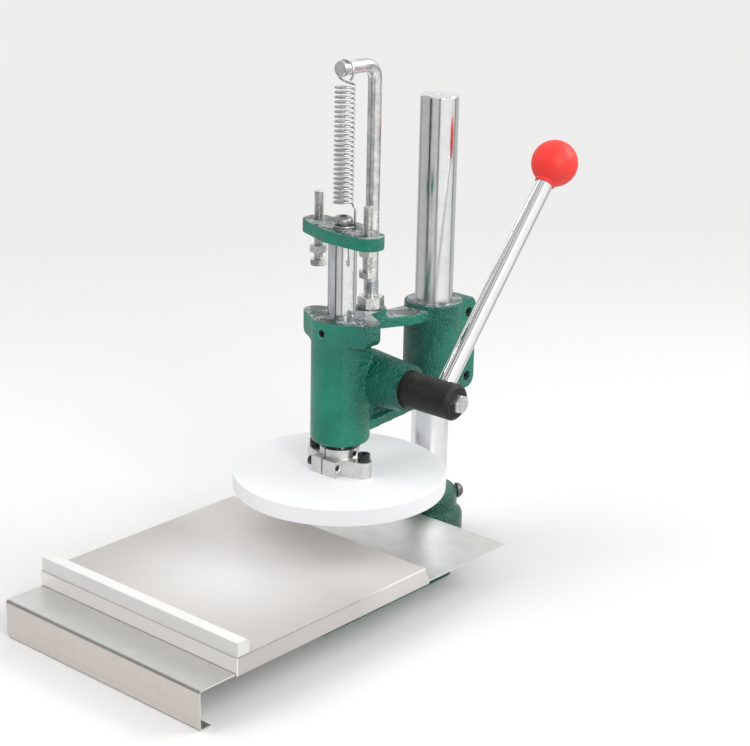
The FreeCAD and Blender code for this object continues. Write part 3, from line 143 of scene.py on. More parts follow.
class Graph:
    """A node tree with short ways to add and join nodes."""

    def __init__(self, tree: Tree) -> None:
        """Keeps the tree to work on."""
        self.tree = tree

    @classmethod
    def cleared(cls, owner: Union[bpy.types.Material, bpy.types.World]) -> "Graph":
        """The emptied node tree of a new material or world."""
        owner.use_nodes = True
        owner.node_tree.nodes.clear()
        return cls(owner.node_tree)

    def fill(self, node: Node, inputs: dict[Union[str, int], Value]) -> Node:
        """Sets or joins a node's inputs.

        Args:
            node: The node.
            inputs: Values or sockets, by the input's name or index.

        Returns:
            The same node.
        """
        for key, value in inputs.items():
            if isinstance(value, Socket):
                self.tree.links.new(value, node.inputs[key])
            else:
                node.inputs[key].default_value = value
        return node

    def add(self, kind: str, inputs: dict[Union[str, int], Value] | None = None, **settings: object) -> Node:
        """Adds a node.

        Args:
            kind: The node's type name.
            inputs: Values or sockets for its inputs, by name or index.
            **settings: The node's own properties.

        Returns:
            The new node.
        """
        node = self.tree.nodes.new(kind)
        for key, setting in settings.items():
            setattr(node, key, setting)
        return self.fill(node, inputs or {})

    def group(self, tree: Tree, **inputs: Value) -> Node:
        """Places a shared group with its own values."""
        return self.fill(self.add("ShaderNodeGroup", node_tree=tree), inputs)

    def math(self, operation: str, first: Value, second: Value = 0.0) -> Socket:
        """One sum of two values."""
        return self.add("ShaderNodeMath", {0: first, 1: second}, operation=operation).outputs[0]

    def times(self, *values: Value) -> Socket:
        """The values multiplied."""
        return reduce(lambda first, second: self.math("MULTIPLY", first, second), values)

    def plus(self, *values: Value) -> Socket:
        """The values added up."""
        return reduce(lambda first, second: self.math("ADD", first, second), values)

    def minus(self, first: Value, second: Value) -> Socket:
        """What is left of a value."""
        return self.math("SUBTRACT", first, second)

    def mix(self, factor: Value, first: Value, second: Value, blend: str = "MIX") -> Socket:
        """Two colours mixed by a factor."""
        node = self.add("ShaderNodeMix", {0: factor, 6: first, 7: second}, data_type="RGBA", blend_type=blend)
        return node.outputs[2]

    def remap(self, value: Value, low: Value, high: Value, to_low: float = 0.0, to_high: float = 1.0,
              smooth: bool = False) -> Socket:
        """A value taken from one range to another and kept inside it, with soft ends where it is smooth."""
        inputs = {0: value, 1: low, 2: high, 3: to_low, 4: to_high}
        kind = "SMOOTHSTEP" if smooth else "LINEAR"
        return self.add("ShaderNodeMapRange", inputs, interpolation_type=kind).outputs[0]

    def vector(self, operation: str, first: Value, second: Value = ORIGIN) -> Socket:
        """One sum of two vectors."""
        return self.add("ShaderNodeVectorMath", {0: first, 1: second}, operation=operation).outputs[0]

    def length(self, vector: Value) -> Socket:
        """How long a vector is."""
        return self.add("ShaderNodeVectorMath", {0: vector}, operation="LENGTH").outputs["Value"]

    def axes(self, vector: Value) -> Outputs:
        """A vector's x, y and z."""
        return self.add("ShaderNodeSeparateXYZ", {0: vector}).outputs

    def noise(self, vector: Socket, scale: Value, detail: float = 4.0, roughness: float = 0.5) -> Socket:
        """Soft noise from 0 to 1."""
        inputs = {"Vector": vector, "Scale": scale, "Detail": detail, "Roughness": roughness}
        return self.add("ShaderNodeTexNoise", inputs).outputs[0]

    def place(self) -> Socket:
        """Object coordinates, in metres."""
        return self.add("ShaderNodeTexCoord").outputs["Object"]

    def upward(self) -> Socket:
        """How far a face looks up, from -1 to 1."""
        return self.axes(self.add("ShaderNodeNewGeometry").outputs["Normal"])[2]

    def pointed(self) -> Socket:
        """Over a half where a corner stands out, under a half in a hollow."""
        return self.add("ShaderNodeNewGeometry").outputs["Pointiness"]

    def bump(self, height: Socket, strength: float, distance: float) -> Socket:
        """A normal bent by a height."""
        node = self.add("ShaderNodeBump", {"Height": height, "Strength": strength, "Distance": distance})
        return node.outputs[0]


@dataclass(frozen=True)
class Patches:
    """Noise that breaks a surface up into patches."""

    scale: float  # How fine the noise is
    start: float  # The noise's level at which a patch starts
    full: float  # Its level at which the patch is full
    detail: float = 4.0  # How many finer layers the noise has
    roughness: float = 0.5  # How strongly they show
    outside: float = 0.0  # The value between the patches
    inside: float = 1.0  # The value in a patch

    def over(self, graph: Graph, where: Socket) -> Socket:
        """The patches' value at a place."""
        noise = graph.noise(where, self.scale, self.detail, self.roughness)
        return graph.remap(noise, self.start, self.full, self.outside, self.inside)


def shared_group(
    name: str,
    inputs: dict[str, Union[float, Triple]],
    outputs: Sequence[str],
    wire: Callable[[Graph, Outputs], dict[str, Socket]],
) -> Tree:
    """Builds a group that several finishes use, or finds it if it is there.

    Args:
        name: The group's name.
        inputs: Its input values by name, vectors among them as three numbers.
        outputs: Its output names, all of them single values.
        wire: Adds the nodes and returns the socket for each output.

    Returns:
        The group's tree.
    """
    found = bpy.data.node_groups.get(name)
    if found:
        return found
    tree = bpy.data.node_groups.new(name, "ShaderNodeTree")
    for label, value in inputs.items():
        kind = "NodeSocketFloat" if isinstance(value, float) else "NodeSocketVector"
        socket = tree.interface.new_socket(name=label, in_out="INPUT", socket_type=kind)
        socket.default_value = value
    for label in outputs:
        tree.interface.new_socket(name=label, in_out="OUTPUT", socket_type="NodeSocketFloat")
    graph = Graph(tree)
    source, sink = graph.add("NodeGroupInput"), graph.add("NodeGroupOutput")
    graph.fill(sink, wire(graph, source.outputs))
    return tree


def cast_skin() -> Tree:
    """The uneven skin of a sand casting under its paint.

    Returns:
        A group with the skin's height.
    """
    def wire(graph: Graph, given: Outputs) -> dict[str, Socket]:
        """Orange peel from rounded cells, over a slower and under a finer unevenness."""
        where, scale = given["Vector"], given["Scale"]
        peel = graph.add("ShaderNodeTexVoronoi", {"Vector": where, "Scale": scale, "Smoothness": 1.0},
                         feature="SMOOTH_F1").outputs[0]
        slow = graph.noise(where, graph.times(scale, 0.24), 3.0, 0.55)
        fine = graph.noise(where, graph.times(scale, 2.6), 2.0, 0.5)
        return {"Height": graph.plus(graph.times(peel, 0.5), graph.times(slow, 0.9), graph.times(fine, 0.18))}

    return shared_group("cast_skin", {"Vector": ORIGIN, "Scale": 600.0}, ("Height",), wire)


def edge_wear() -> Tree:
    """Where paint or plating is rubbed thin, on corners that stand out.

    Returns:
        A group with the mask.
    """
    def wire(graph: Graph, given: Outputs) -> dict[str, Socket]:
        """Pointed places broken up by noise."""
        broken = graph.noise(given["Vector"], given["Scale"], 5.0, 0.62)
        edge = graph.plus(graph.pointed(), graph.times(graph.minus(broken, 0.5), given["Break"]))
        return {"Mask": graph.remap(edge, given["Start"], graph.plus(given["Start"], given["Width"]))}

    values = {"Vector": ORIGIN, "Scale": 120.0, "Break": 0.1, "Start": 0.54, "Width": 0.04}
    return shared_group("edge_wear", values, ("Mask",), wire)


def drawn_grain() -> Tree:
    """Fine lines that a mill, a belt or a cloth leaves along one direction.

    Returns:
        A group with the lines' height and a slower mask of brighter and duller bands.
    """
    def wire(graph: Graph, given: Outputs) -> dict[str, Socket]:
        """Two noises stretched along the grain."""
        along = graph.vector("MULTIPLY", given["Vector"], given["Stretch"])
        fine = graph.noise(along, given["Scale"], 6.0, 0.7)
        slow = graph.noise(along, graph.times(given["Scale"], 0.08), 3.0, 0.5)
        return {"Height": fine, "Bands": slow}

    return shared_group("drawn_grain", {"Vector": ORIGIN, "Stretch": EVEN, "Scale": 900.0}, ("Height", "Bands"), wire)


def settled_dust() -> Tree:
    """Flour and dust on what faces up.

    Returns:
        A group with the mask.
    """
    def wire(graph: Graph, given: Outputs) -> dict[str, Socket]:
        """Upward faces broken up by noise."""
        facing = graph.remap(graph.upward(), 0.35, 0.95)
        patch = graph.remap(graph.noise(given["Vector"], given["Scale"], 6.0, 0.66), 0.42, 0.72)
        return {"Mask": graph.times(facing, patch, given["Amount"])}

    return shared_group("settled_dust", {"Vector": ORIGIN, "Scale": 60.0, "Amount": 0.3}, ("Mask",), wire)


@dataclass(frozen=True)
class PaintedLight:
    """A box in the part's frame in which painted light or shade gives a surface another tone."""

    low: Triple  # Its low corner, in metres
    high: Triple  # Its high corner, in metres
    tone: Colour  # The tone
    strength: float  # How strongly it covers
    soft: float  # How far it fades out round the box, in metres
    spots: float = 0.4  # How far it thins out in spots

    def over(self, graph: Graph, where: Socket, colour: Socket) -> Socket:
        """The colour with the painted light or shade on it, thinner in spots."""
        below, above = graph.vector("SUBTRACT", self.low, where), graph.vector("SUBTRACT", where, self.high)
        away = graph.length(graph.vector("MAXIMUM", graph.vector("MAXIMUM", below, above)))
        cover = graph.remap(away, 0.0, self.soft, self.strength, 0.0)
        broken = Patches(240.0, 0.3, 0.55, roughness=0.7, outside=1.0 - self.spots)
        return graph.mix(graph.times(cover, broken.over(graph, where)), colour, self.tone)


@dataclass(frozen=True)
class Finish:
    """How a surface is made and left."""

    name: str  # The material's name
    slot: str  # The record's material slot that it stands for
    painted_light: tuple[PaintedLight, ...] = ()  # Its boxes of painted light and shade

    def material(self) -> bpy.types.Material:
        """The material, built the first time it is asked for.

        Returns:
            The material.
        """
        found = bpy.data.materials.get(self.name)
        if found:
            return found
        material = bpy.data.materials.new(self.name)
        graph = Graph.cleared(material)
        shader = graph.add("ShaderNodeBsdfPrincipled")
        graph.add("ShaderNodeOutputMaterial", {0: shader.outputs[0]})
        self.dress(graph, shader)
        return material

    def dress(self, graph: Graph, shader: Node) -> None:
        """Fills in the shader. Each finish has its own."""
        raise NotImplementedError

    def with_painted_light(self, graph: Graph, where: Socket, colour: Socket) -> Socket:
        """The colour with every box of painted light and shade on it."""
        for stain in self.painted_light:
            colour = stain.over(graph, where, colour)
        return colour

    @staticmethod
    def feed(graph: Graph, shader: Node, **inputs: Value) -> None:
        """Gives the shader its values and sockets, spaces in names as underscores."""
        graph.fill(shader, {key.replace("_", " "): value for key, value in inputs.items()})


@dataclass(frozen=True)
class Enamel(Finish):
    """Hammered paint over rough iron, thin on its edges and ground off the tops that were machined."""

    paint: Colour = srgb(22, 140, 114)  # Colour where the paint is fresh
    shade: Colour = srgb(6, 114, 93)  # Colour where it lies thick, also multiplied in as painted shade towards the bench
    chalk: Colour = srgb(72, 124, 118)  # Colour where it has gone chalky
    glaze: Colour = srgb(148, 192, 176)  # Colour of thin paint on an edge
    iron: Colour = srgb(186, 188, 191)  # Bare ground iron
    grime: Colour = srgb(18, 42, 38)  # Oil and old paint left on the ground tops
    clouds: Patches = Patches(17.0, 0.38, 0.62, roughness=0.6)  # Where the paint lies thinner
    chalky: Patches = Patches(9.0, 0.48, 0.66, detail=3.0, inside=0.45)  # Broad chalky patches
    specks: Patches = Patches(700.0, 0.56, 0.68, detail=3.0, roughness=0.6, inside=0.35)  # Fine chalky specks
    spots: Patches = Patches(300.0, 0.62, 0.58, roughness=0.65)  # Dark spots left in the bare iron
    peel: float = 460.0  # How fine the hammered skin is
    relief: float = 0.0042  # How far it stands out, in metres
    # Where the skin goes over from the housing's smoother front to its rough sides, in metres
    smooth_front: Pair = (-0.024, -0.006)
    smoothness: float = 0.3  # How much of the skin is left on that front
    roughness: float = 0.2  # Roughness of the paint
    gloss: float = 0.36  # Its mirror strength
    machined: float = 0.262  # Height in metres from which upward faces were ground
    feet: Pair = (0.1, 0.04)  # Heights in metres between which painted shade darkens the paint towards the bench

    def dress(self, graph: Graph, shader: Node) -> None:
        """Paint that runs thin on edges over a cast skin, with painted shade in boxes and towards the bench."""
        where = graph.place()
        _, depth, height = graph.axes(where)
        edges = graph.group(edge_wear(), Vector=where, Scale=190.0, Break=0.14, Start=0.535, Width=0.05).outputs[0]
        colour = graph.mix(self.clouds.over(graph, where), self.shade, self.paint)
        pale = graph.math("MAXIMUM", self.chalky.over(graph, where), self.specks.over(graph, where))
        colour = graph.mix(pale, colour, self.chalk)
        colour = graph.mix(graph.times(edges, 0.75), colour, self.glaze)
        # Boxes of painted shade: the clamp's left side, the web under the arm and the boss.
        colour = self.with_painted_light(graph, where, colour)
        # Painted shade: the paint darkens towards the bench.
        colour = graph.mix(graph.remap(height, *self.feet, 0.0, 0.6), colour, self.shade, "MULTIPLY")
        facing_up = graph.remap(graph.upward(), 0.955, 0.985)
        ground = graph.times(facing_up, graph.math("GREATER_THAN", height, self.machined))
        ragged = graph.times(graph.minus(graph.noise(where, 520.0, 4.0, 0.65), 0.5), 0.42)
        rubbed = graph.remap(graph.plus(graph.noise(where, 48.0, 6.0, 0.66), ragged), 0.49, 0.55)
        bare = graph.times(ground, rubbed, self.spots.over(graph, where))
        colour = graph.mix(graph.times(ground, 0.88), colour, self.grime)
        colour = graph.mix(bare, colour, self.iron)
        uneven = graph.times(graph.noise(where, 180.0, 3.0), 0.08)
        skin = graph.group(cast_skin(), Vector=where, Scale=self.peel).outputs[0]
        left = graph.minus(graph.remap(depth, *self.smooth_front, self.smoothness, 1.0), ground)
        self.feed(graph, shader, Base_Color=colour, Metallic=graph.times(bare, 0.55),
                  Roughness=graph.plus(graph.times(bare, 0.24), self.roughness, uneven),
                  Specular_IOR_Level=self.gloss, Coat_Roughness=0.08,
                  Coat_Weight=graph.remap(ground, 0.0, 1.0, 0.1, 0.0),
                  Normal=graph.bump(graph.times(skin, left), 1.0, self.relief))


@dataclass(frozen=True)
class PlatedMetal(Finish):
    """Bare or plated metal with drawn or turned lines in it."""

    colour: Colour = srgb(232, 232, 231)  # Its colour where it is clean
    dark: Colour = srgb(196, 196, 195)  # Its colour where it is marked
    roughness: float = 0.1  # Roughness where it is smoothest
    spread: float = 0.08  # How much rougher the marks are
    mottle: float = 1.0  # How far the marks change its colour
    specks: float = 0.0  # How strongly small dark specks stand out
    stretch: Triple = (1.0, 1.0, 0.02)  # How the lines are drawn out along each axis
    grain: float = 1500.0  # How fine the lines are
    relief: float = 0.04  # How deep they are
    dust: float = 0.0  # How much dust lies on what faces up
    satin: float = 0.0  # Height in metres below which a handled bar has lost its gloss
    groove: float = 0.0  # Half the width in metres of a milled keyway down its front
    hollow_shade: float = 0.0  # How dark painted shade makes its hollows, such as the roots of a thread

    def dress(self, graph: Graph, shader: Node) -> None:
        """Metal whose lines change its gloss a little."""
        where = graph.place()
        side, depth, height = graph.axes(where)
        lines, bands = graph.group(drawn_grain(), Vector=where, Stretch=self.stretch, Scale=self.grain).outputs
        marks = graph.noise(where, 70.0, 6.0, 0.65)
        colour = graph.mix(graph.remap(marks, 0.35, 0.75, 0.0, self.mottle), self.colour, self.dark)
        colour = graph.mix(graph.times(bands, 0.35 * self.mottle), colour, self.dark)
        if self.specks:
            speck = Patches(1150.0, 0.5, 0.62, detail=3.0, roughness=0.6, inside=self.specks)
            drawn_up = graph.vector("MULTIPLY", where, (1.0, 1.0, 0.45))
            colour = graph.mix(speck.over(graph, drawn_up), colour, srgb(70, 70, 66))
        rough = graph.plus(graph.times(bands, self.spread), self.roughness,
                           graph.remap(marks, 0.5, 0.8, 0.0, self.spread))
        if self.satin:
            handled = graph.remap(height, self.satin - 0.03, self.satin + 0.12, 0.14, 0.0)
            rough = graph.plus(rough, handled)
        if self.groove:
            narrow = graph.remap(graph.math("ABSOLUTE", side), self.groove + 0.0002, self.groove, 0.0, 0.5)
            rough = graph.plus(rough, graph.times(narrow, graph.math("LESS_THAN", depth, 0.0)))
        # Painted shade in the hollows, such as the roots of a thread.
        if self.hollow_shade:
            colour = graph.mix(graph.remap(graph.pointed(), 0.5, 0.44, 0.0, self.hollow_shade), colour, srgb(52, 51, 47))
        # Boxes of painted light and shade, where the finish has them.
        colour = self.with_painted_light(graph, where, colour)
        metal: Value = 1.0
        if self.dust:
            dust = graph.group(settled_dust(), Vector=where, Scale=90.0, Amount=self.dust).outputs[0]
            colour = graph.mix(dust, colour, srgb(196, 190, 180))
            metal = graph.minus(1.0, dust)
        self.feed(graph, shader, Base_Color=colour, Metallic=metal, Roughness=rough,
                  Normal=graph.bump(lines, self.relief, LINE_DEPTH))


@dataclass(frozen=True)
class Oxide(Finish):
    """Blackened steel, dusty, rubbed back to steel on its edges."""

    colour: Colour = srgb(46, 44, 42)  # Its colour where it is oiled
    haze: Colour = srgb(66, 63, 59)  # Its colour where it has dried
    worn: Colour = srgb(172, 169, 162)  # The steel on its edges
    dusty: Colour = srgb(120, 113, 104)  # Colour of the dust
    scratch: Colour = srgb(92, 90, 84)  # Colour of its scratches
    dried: Patches = Patches(120.0, 0.35, 0.7, detail=7.0, roughness=0.7)  # Where it has dried
    scratched: Patches = Patches(640.0, 0.56, 0.7, detail=5.0, roughness=0.7, inside=0.5)  # Where it is scratched
    roughness: float = 0.42  # Roughness where it is oiled
    wear: float = 0.6  # How far its edges are rubbed back

    def dress(self, graph: Graph, shader: Node) -> None:
        """A dark, oiled and dusty surface with turning lines."""
        where = graph.place()
        lines = graph.group(drawn_grain(), Vector=where, Stretch=(0.05, 1.0, 1.0), Scale=1600.0).outputs[0]
        edges = graph.group(edge_wear(), Vector=where, Scale=260.0, Break=0.16, Start=0.56, Width=0.05).outputs[0]
        dust = graph.group(settled_dust(), Vector=where, Scale=170.0, Amount=0.12).outputs[0]
        dry = self.dried.over(graph, where)
        steel = graph.times(edges, self.wear)
        colour = graph.mix(graph.times(dry, 0.7), self.colour, self.haze)
        colour = graph.mix(dust, colour, self.dusty)
        colour = graph.mix(self.scratched.over(graph, where), colour, self.scratch)
        self.feed(graph, shader, Base_Color=graph.mix(steel, colour, self.worn), Metallic=steel,
                  Roughness=graph.plus(graph.times(dry, 0.2), self.roughness), Specular_IOR_Level=0.3,
                  Normal=graph.bump(lines, 0.12, LINE_DEPTH))


@dataclass(frozen=True)
class Plastic(Finish):
    """Moulded plastic or a smooth coat, with faint handling marks."""

    colour: Colour = srgb(240, 240, 238)  # Its colour
    tint: Colour = srgb(228, 227, 223)  # The colour that it changes to in places
    tinted: Patches = Patches(9.0, 0.35, 0.75, detail=5.0, roughness=0.6)  # Where it does so
    specks: Patches = Patches(1300.0, 0.66, 0.74, detail=2.0, inside=0.12)  # Small tinted specks
    handled: Patches = Patches(60.0, 0.4, 0.75, detail=7.0, roughness=0.7)  # Where it is duller from handling
    roughness: float = 0.35  # Roughness where it is smoothest
    spread: float = 0.12  # How much rougher the handled places are
    texture: float = 900.0  # How fine its skin is
    relief: float = 0.05  # How deep that skin is
    gloss: float = 0.5  # Its mirror strength

    def dress(self, graph: Graph, shader: Node) -> None:
        """A nearly even colour with small changes of gloss."""
        where = graph.place()
        colour = graph.mix(self.tinted.over(graph, where), self.colour, self.tint)
        colour = graph.mix(self.specks.over(graph, where), colour, self.tint)
        rough = graph.plus(graph.times(self.handled.over(graph, where), self.spread), self.roughness)
        skin = graph.noise(where, self.texture, 3.0, 0.55)
        self.feed(graph, shader, Base_Color=colour, Roughness=rough, Specular_IOR_Level=self.gloss,
                  Normal=graph.bump(skin, self.relief, 0.0005))


@dataclass(frozen=True)
class FoodCoat(Finish):
    """A baked non-stick coat over sheet metal: satin, slightly speckled, with a painted glow of light in the middle."""

    colour: Colour = srgb(198, 193, 188)  # Its colour round the sides
    painted_glow: Colour = srgb(236, 235, 233)  # Its colour in the middle, a painted glow of light
    speck: Colour = srgb(178, 174, 168)  # Colour of its specks
    specks: Patches = Patches(1500.0, 0.62, 0.72, detail=2.0, inside=0.12)  # Where they are
    middle: Triple = (0.008, -0.158, 0.056)  # Middle of the painted glow, in metres
    spread: float = 0.18  # How far the painted glow reaches, in metres
    roughness: float = 0.42  # Its roughness
    sheen: float = 0.3  # How much of the metal shows through

    def dress(self, graph: Graph, shader: Node) -> None:
        """Half metal under a thin coat."""
        where = graph.place()
        away = graph.length(graph.vector("SUBTRACT", where, self.middle))
        uneven = graph.plus(away, graph.times(graph.noise(where, 12.0, 3.0), 0.02))
        lines, bands = graph.group(drawn_grain(), Vector=where, Stretch=(0.03, 1.0, 1.0), Scale=1100.0).outputs
        # Painted glow: paler towards the middle, as though light pooled there.
        colour = graph.mix(graph.remap(uneven, self.spread, 0.0, smooth=True), self.colour, self.painted_glow)
        colour = graph.mix(self.specks.over(graph, where), colour, self.speck)
        # The finish's boxes of painted light and shade go on over the glow.
        self.feed(graph, shader, Base_Color=self.with_painted_light(graph, where, colour), Metallic=self.sheen,
                  Roughness=graph.plus(graph.times(bands, 0.12), self.roughness),
                  Normal=graph.bump(lines, 0.03, LINE_DEPTH))


class Finishes:
    """Every finish on the press."""

    # Painted shade on the clamp's left side, on the web under the arm and on the boss.
    ENAMEL = Enamel("green_hammer_enamel", "iron_enamel", (
        PaintedLight((-0.05, 0.122, 0.15), (-0.004, 0.144, 0.29), srgb(26, 52, 54), 0.95, 0.032),
        PaintedLight((-0.012, 0.05, 0.172), (0.012, 0.11, 0.2), srgb(16, 40, 38), 0.8, 0.006),
        PaintedLight((0.036, -0.04, 0.19), (0.069, 0.06, 0.245), srgb(0, 92, 76), 0.85, 0.012)))
    CHROME = PlatedMetal(
        "polished_chrome", "chrome", colour=srgb(251, 251, 250), dark=srgb(206, 206, 205), roughness=0.05, spread=0.05,
        mottle=0.25, relief=0.02)
    COLUMN = PlatedMetal(
        "column_chrome", "chrome", colour=srgb(236, 237, 238), dark=srgb(200, 201, 202), roughness=0.1, spread=0.08,
        mottle=0.4, relief=0.08, satin=0.28)
    # The ram's chrome, with a band of painted shade where it shows in the gap between the collar and the housing.
    RAM = PlatedMetal(
        "ram_chrome", "chrome", (PaintedLight((-1, -1, 0.146), (1, 1, 0.155), srgb(50, 50, 46), 0.95, 0.002),),
        colour=srgb(238, 239, 241), dark=srgb(200, 201, 204), roughness=0.09, spread=0.07, mottle=0.4, relief=0.07,
        groove=0.0031)
    ROD = PlatedMetal(
        "rubbed_chrome", "chrome", colour=srgb(255, 255, 255), dark=srgb(136, 140, 141), roughness=0.12, spread=0.14,
        mottle=0.8, specks=0.12, relief=0.14, stretch=(1.0, 1.0, 0.06))
    ZINC = PlatedMetal(
        "zinc_plate", "zinc_bolt", colour=srgb(255, 255, 253), dark=srgb(190, 189, 185), roughness=0.17, spread=0.14,
        mottle=0.8, specks=0.3, stretch=EVEN, grain=620.0, relief=0.4, dust=0.03, hollow_shade=0.85)
    DARK_BOLT = PlatedMetal(
        "dark_bolt_steel", "zinc_bolt", colour=srgb(140, 140, 138), dark=srgb(80, 81, 80), roughness=0.3, spread=0.16,
        specks=0.5, stretch=EVEN, grain=600.0, relief=0.4, dust=0.04)
    TOP_SCREW = PlatedMetal(
        "worn_screw_steel", "zinc_bolt", colour=srgb(212, 212, 211), dark=srgb(128, 129, 128), roughness=0.24,
        spread=0.16, specks=0.4, stretch=EVEN, grain=600.0, relief=0.4)
    # Painted shade along the lip's front fold, standing in for its dark reflection, and painted shade on the lip's
    # front face.
    STAINLESS = PlatedMetal(
        "satin_stainless", "stainless",
        (PaintedLight((-1, -0.3286, 0.0374), (1, -0.3272, 0.0388), srgb(150, 148, 144), 0.8, 0.0012),
         PaintedLight((-1, -0.34, -1), (1, -0.3285, 0.037), srgb(214, 206, 199), 0.9, 0.0006)),
        colour=srgb(228, 228, 225), dark=srgb(212, 212, 209), roughness=0.3, spread=0.12, mottle=0.6,
        stretch=(0.02, 1.0, 1.0), grain=1400.0, relief=0.05, dust=0.04)
    NICKEL = PlatedMetal(
        "milled_aluminium", "nickel", colour=srgb(234, 234, 232), dark=srgb(200, 199, 195), roughness=0.3, spread=0.14,
        mottle=0.8, specks=0.2, stretch=(0.06, 1.0, 1.0), grain=1200.0, relief=0.14)
    WIRE = PlatedMetal(
        "spring_wire", "spring_steel", colour=srgb(216, 216, 215), dark=srgb(150, 150, 148), roughness=0.26, spread=0.1,
        mottle=0.6, stretch=EVEN, grain=900.0, relief=0.04)
    BRONZE = PlatedMetal(
        "bearing_bronze", "bronze", colour=srgb(196, 150, 92), dark=srgb(150, 108, 62), roughness=0.3, spread=0.1,
        relief=0.08)
    HUB = Oxide("oiled_black_oxide", "black_oxide", colour=srgb(22, 21, 20), haze=srgb(48, 46, 43))
    BLACK = Oxide("black_screw", "black_steel", colour=srgb(26, 30, 29), haze=srgb(44, 54, 51), roughness=0.3, wear=0.3)
    BALL = Plastic(
        "red_ball_plastic", "red_plastic", colour=srgb(255, 66, 58), tint=srgb(250, 56, 48), roughness=0.44,
        spread=0.08, relief=0.02)
    BAR = Plastic(
        "white_bar_plastic", "white_plastic", colour=srgb(236, 236, 234), tint=srgb(228, 227, 223), roughness=0.42,
        spread=0.14, relief=0.06)
    PLATE = Plastic(
        "white_plate_coat", "white_coat", colour=srgb(249, 249, 251), tint=srgb(247, 247, 249), roughness=0.62,
        spread=0.1, relief=0.03, gloss=0.2)
    # Painted shade along the pan's right-hand fold, painted light on its front face, and painted light at its back
    # against the plate's shadow.
    MOULD = FoodCoat("mould_coat", "die_coat", (
        PaintedLight((0.1349, -0.283, 0.0549), (0.14, 0.0, 0.06), srgb(110, 107, 103), 0.7, 0.0006),
        PaintedLight((-0.14, -0.29, 0.03), (0.14, -0.283, 0.0546), srgb(252, 249, 246), 1.0, 0.0006, 0.0),
        PaintedLight((-0.14, -0.075, 0.05), (0.14, -0.02, 0.06), srgb(226, 222, 218), 0.8, 0.05, 0.0)))
    BOARD = Plastic(
        "core_board_resin", "core_board", colour=srgb(150, 120, 84), tint=srgb(126, 98, 66), roughness=0.6, relief=0.2)


def focus(obj: bpy.types.Object) -> None:
    """Selects one object alone, makes it active and leaves edit mode."""
    if bpy.context.object and bpy.context.object.mode != "OBJECT":
        bpy.ops.object.mode_set(mode="OBJECT")
    bpy.ops.object.select_all(action="DESELECT")
    obj.select_set(True)
    bpy.context.view_layer.objects.active = obj


def aimed(start: Vector, direction: Vector) -> Matrix:
    """The place whose own z runs along a direction from a point."""
    return Matrix.Translation(start) @ direction.to_track_quat("Z", "Y").to_matrix().to_4x4()


def pull(shift: Point) -> None:
    """Extrudes what is selected in edit mode."""
    bpy.ops.mesh.extrude_region_move(TRANSFORM_OT_translate={"value": shift})


def every(part: object) -> bool:
    """Picks every part of a mesh."""
    return True


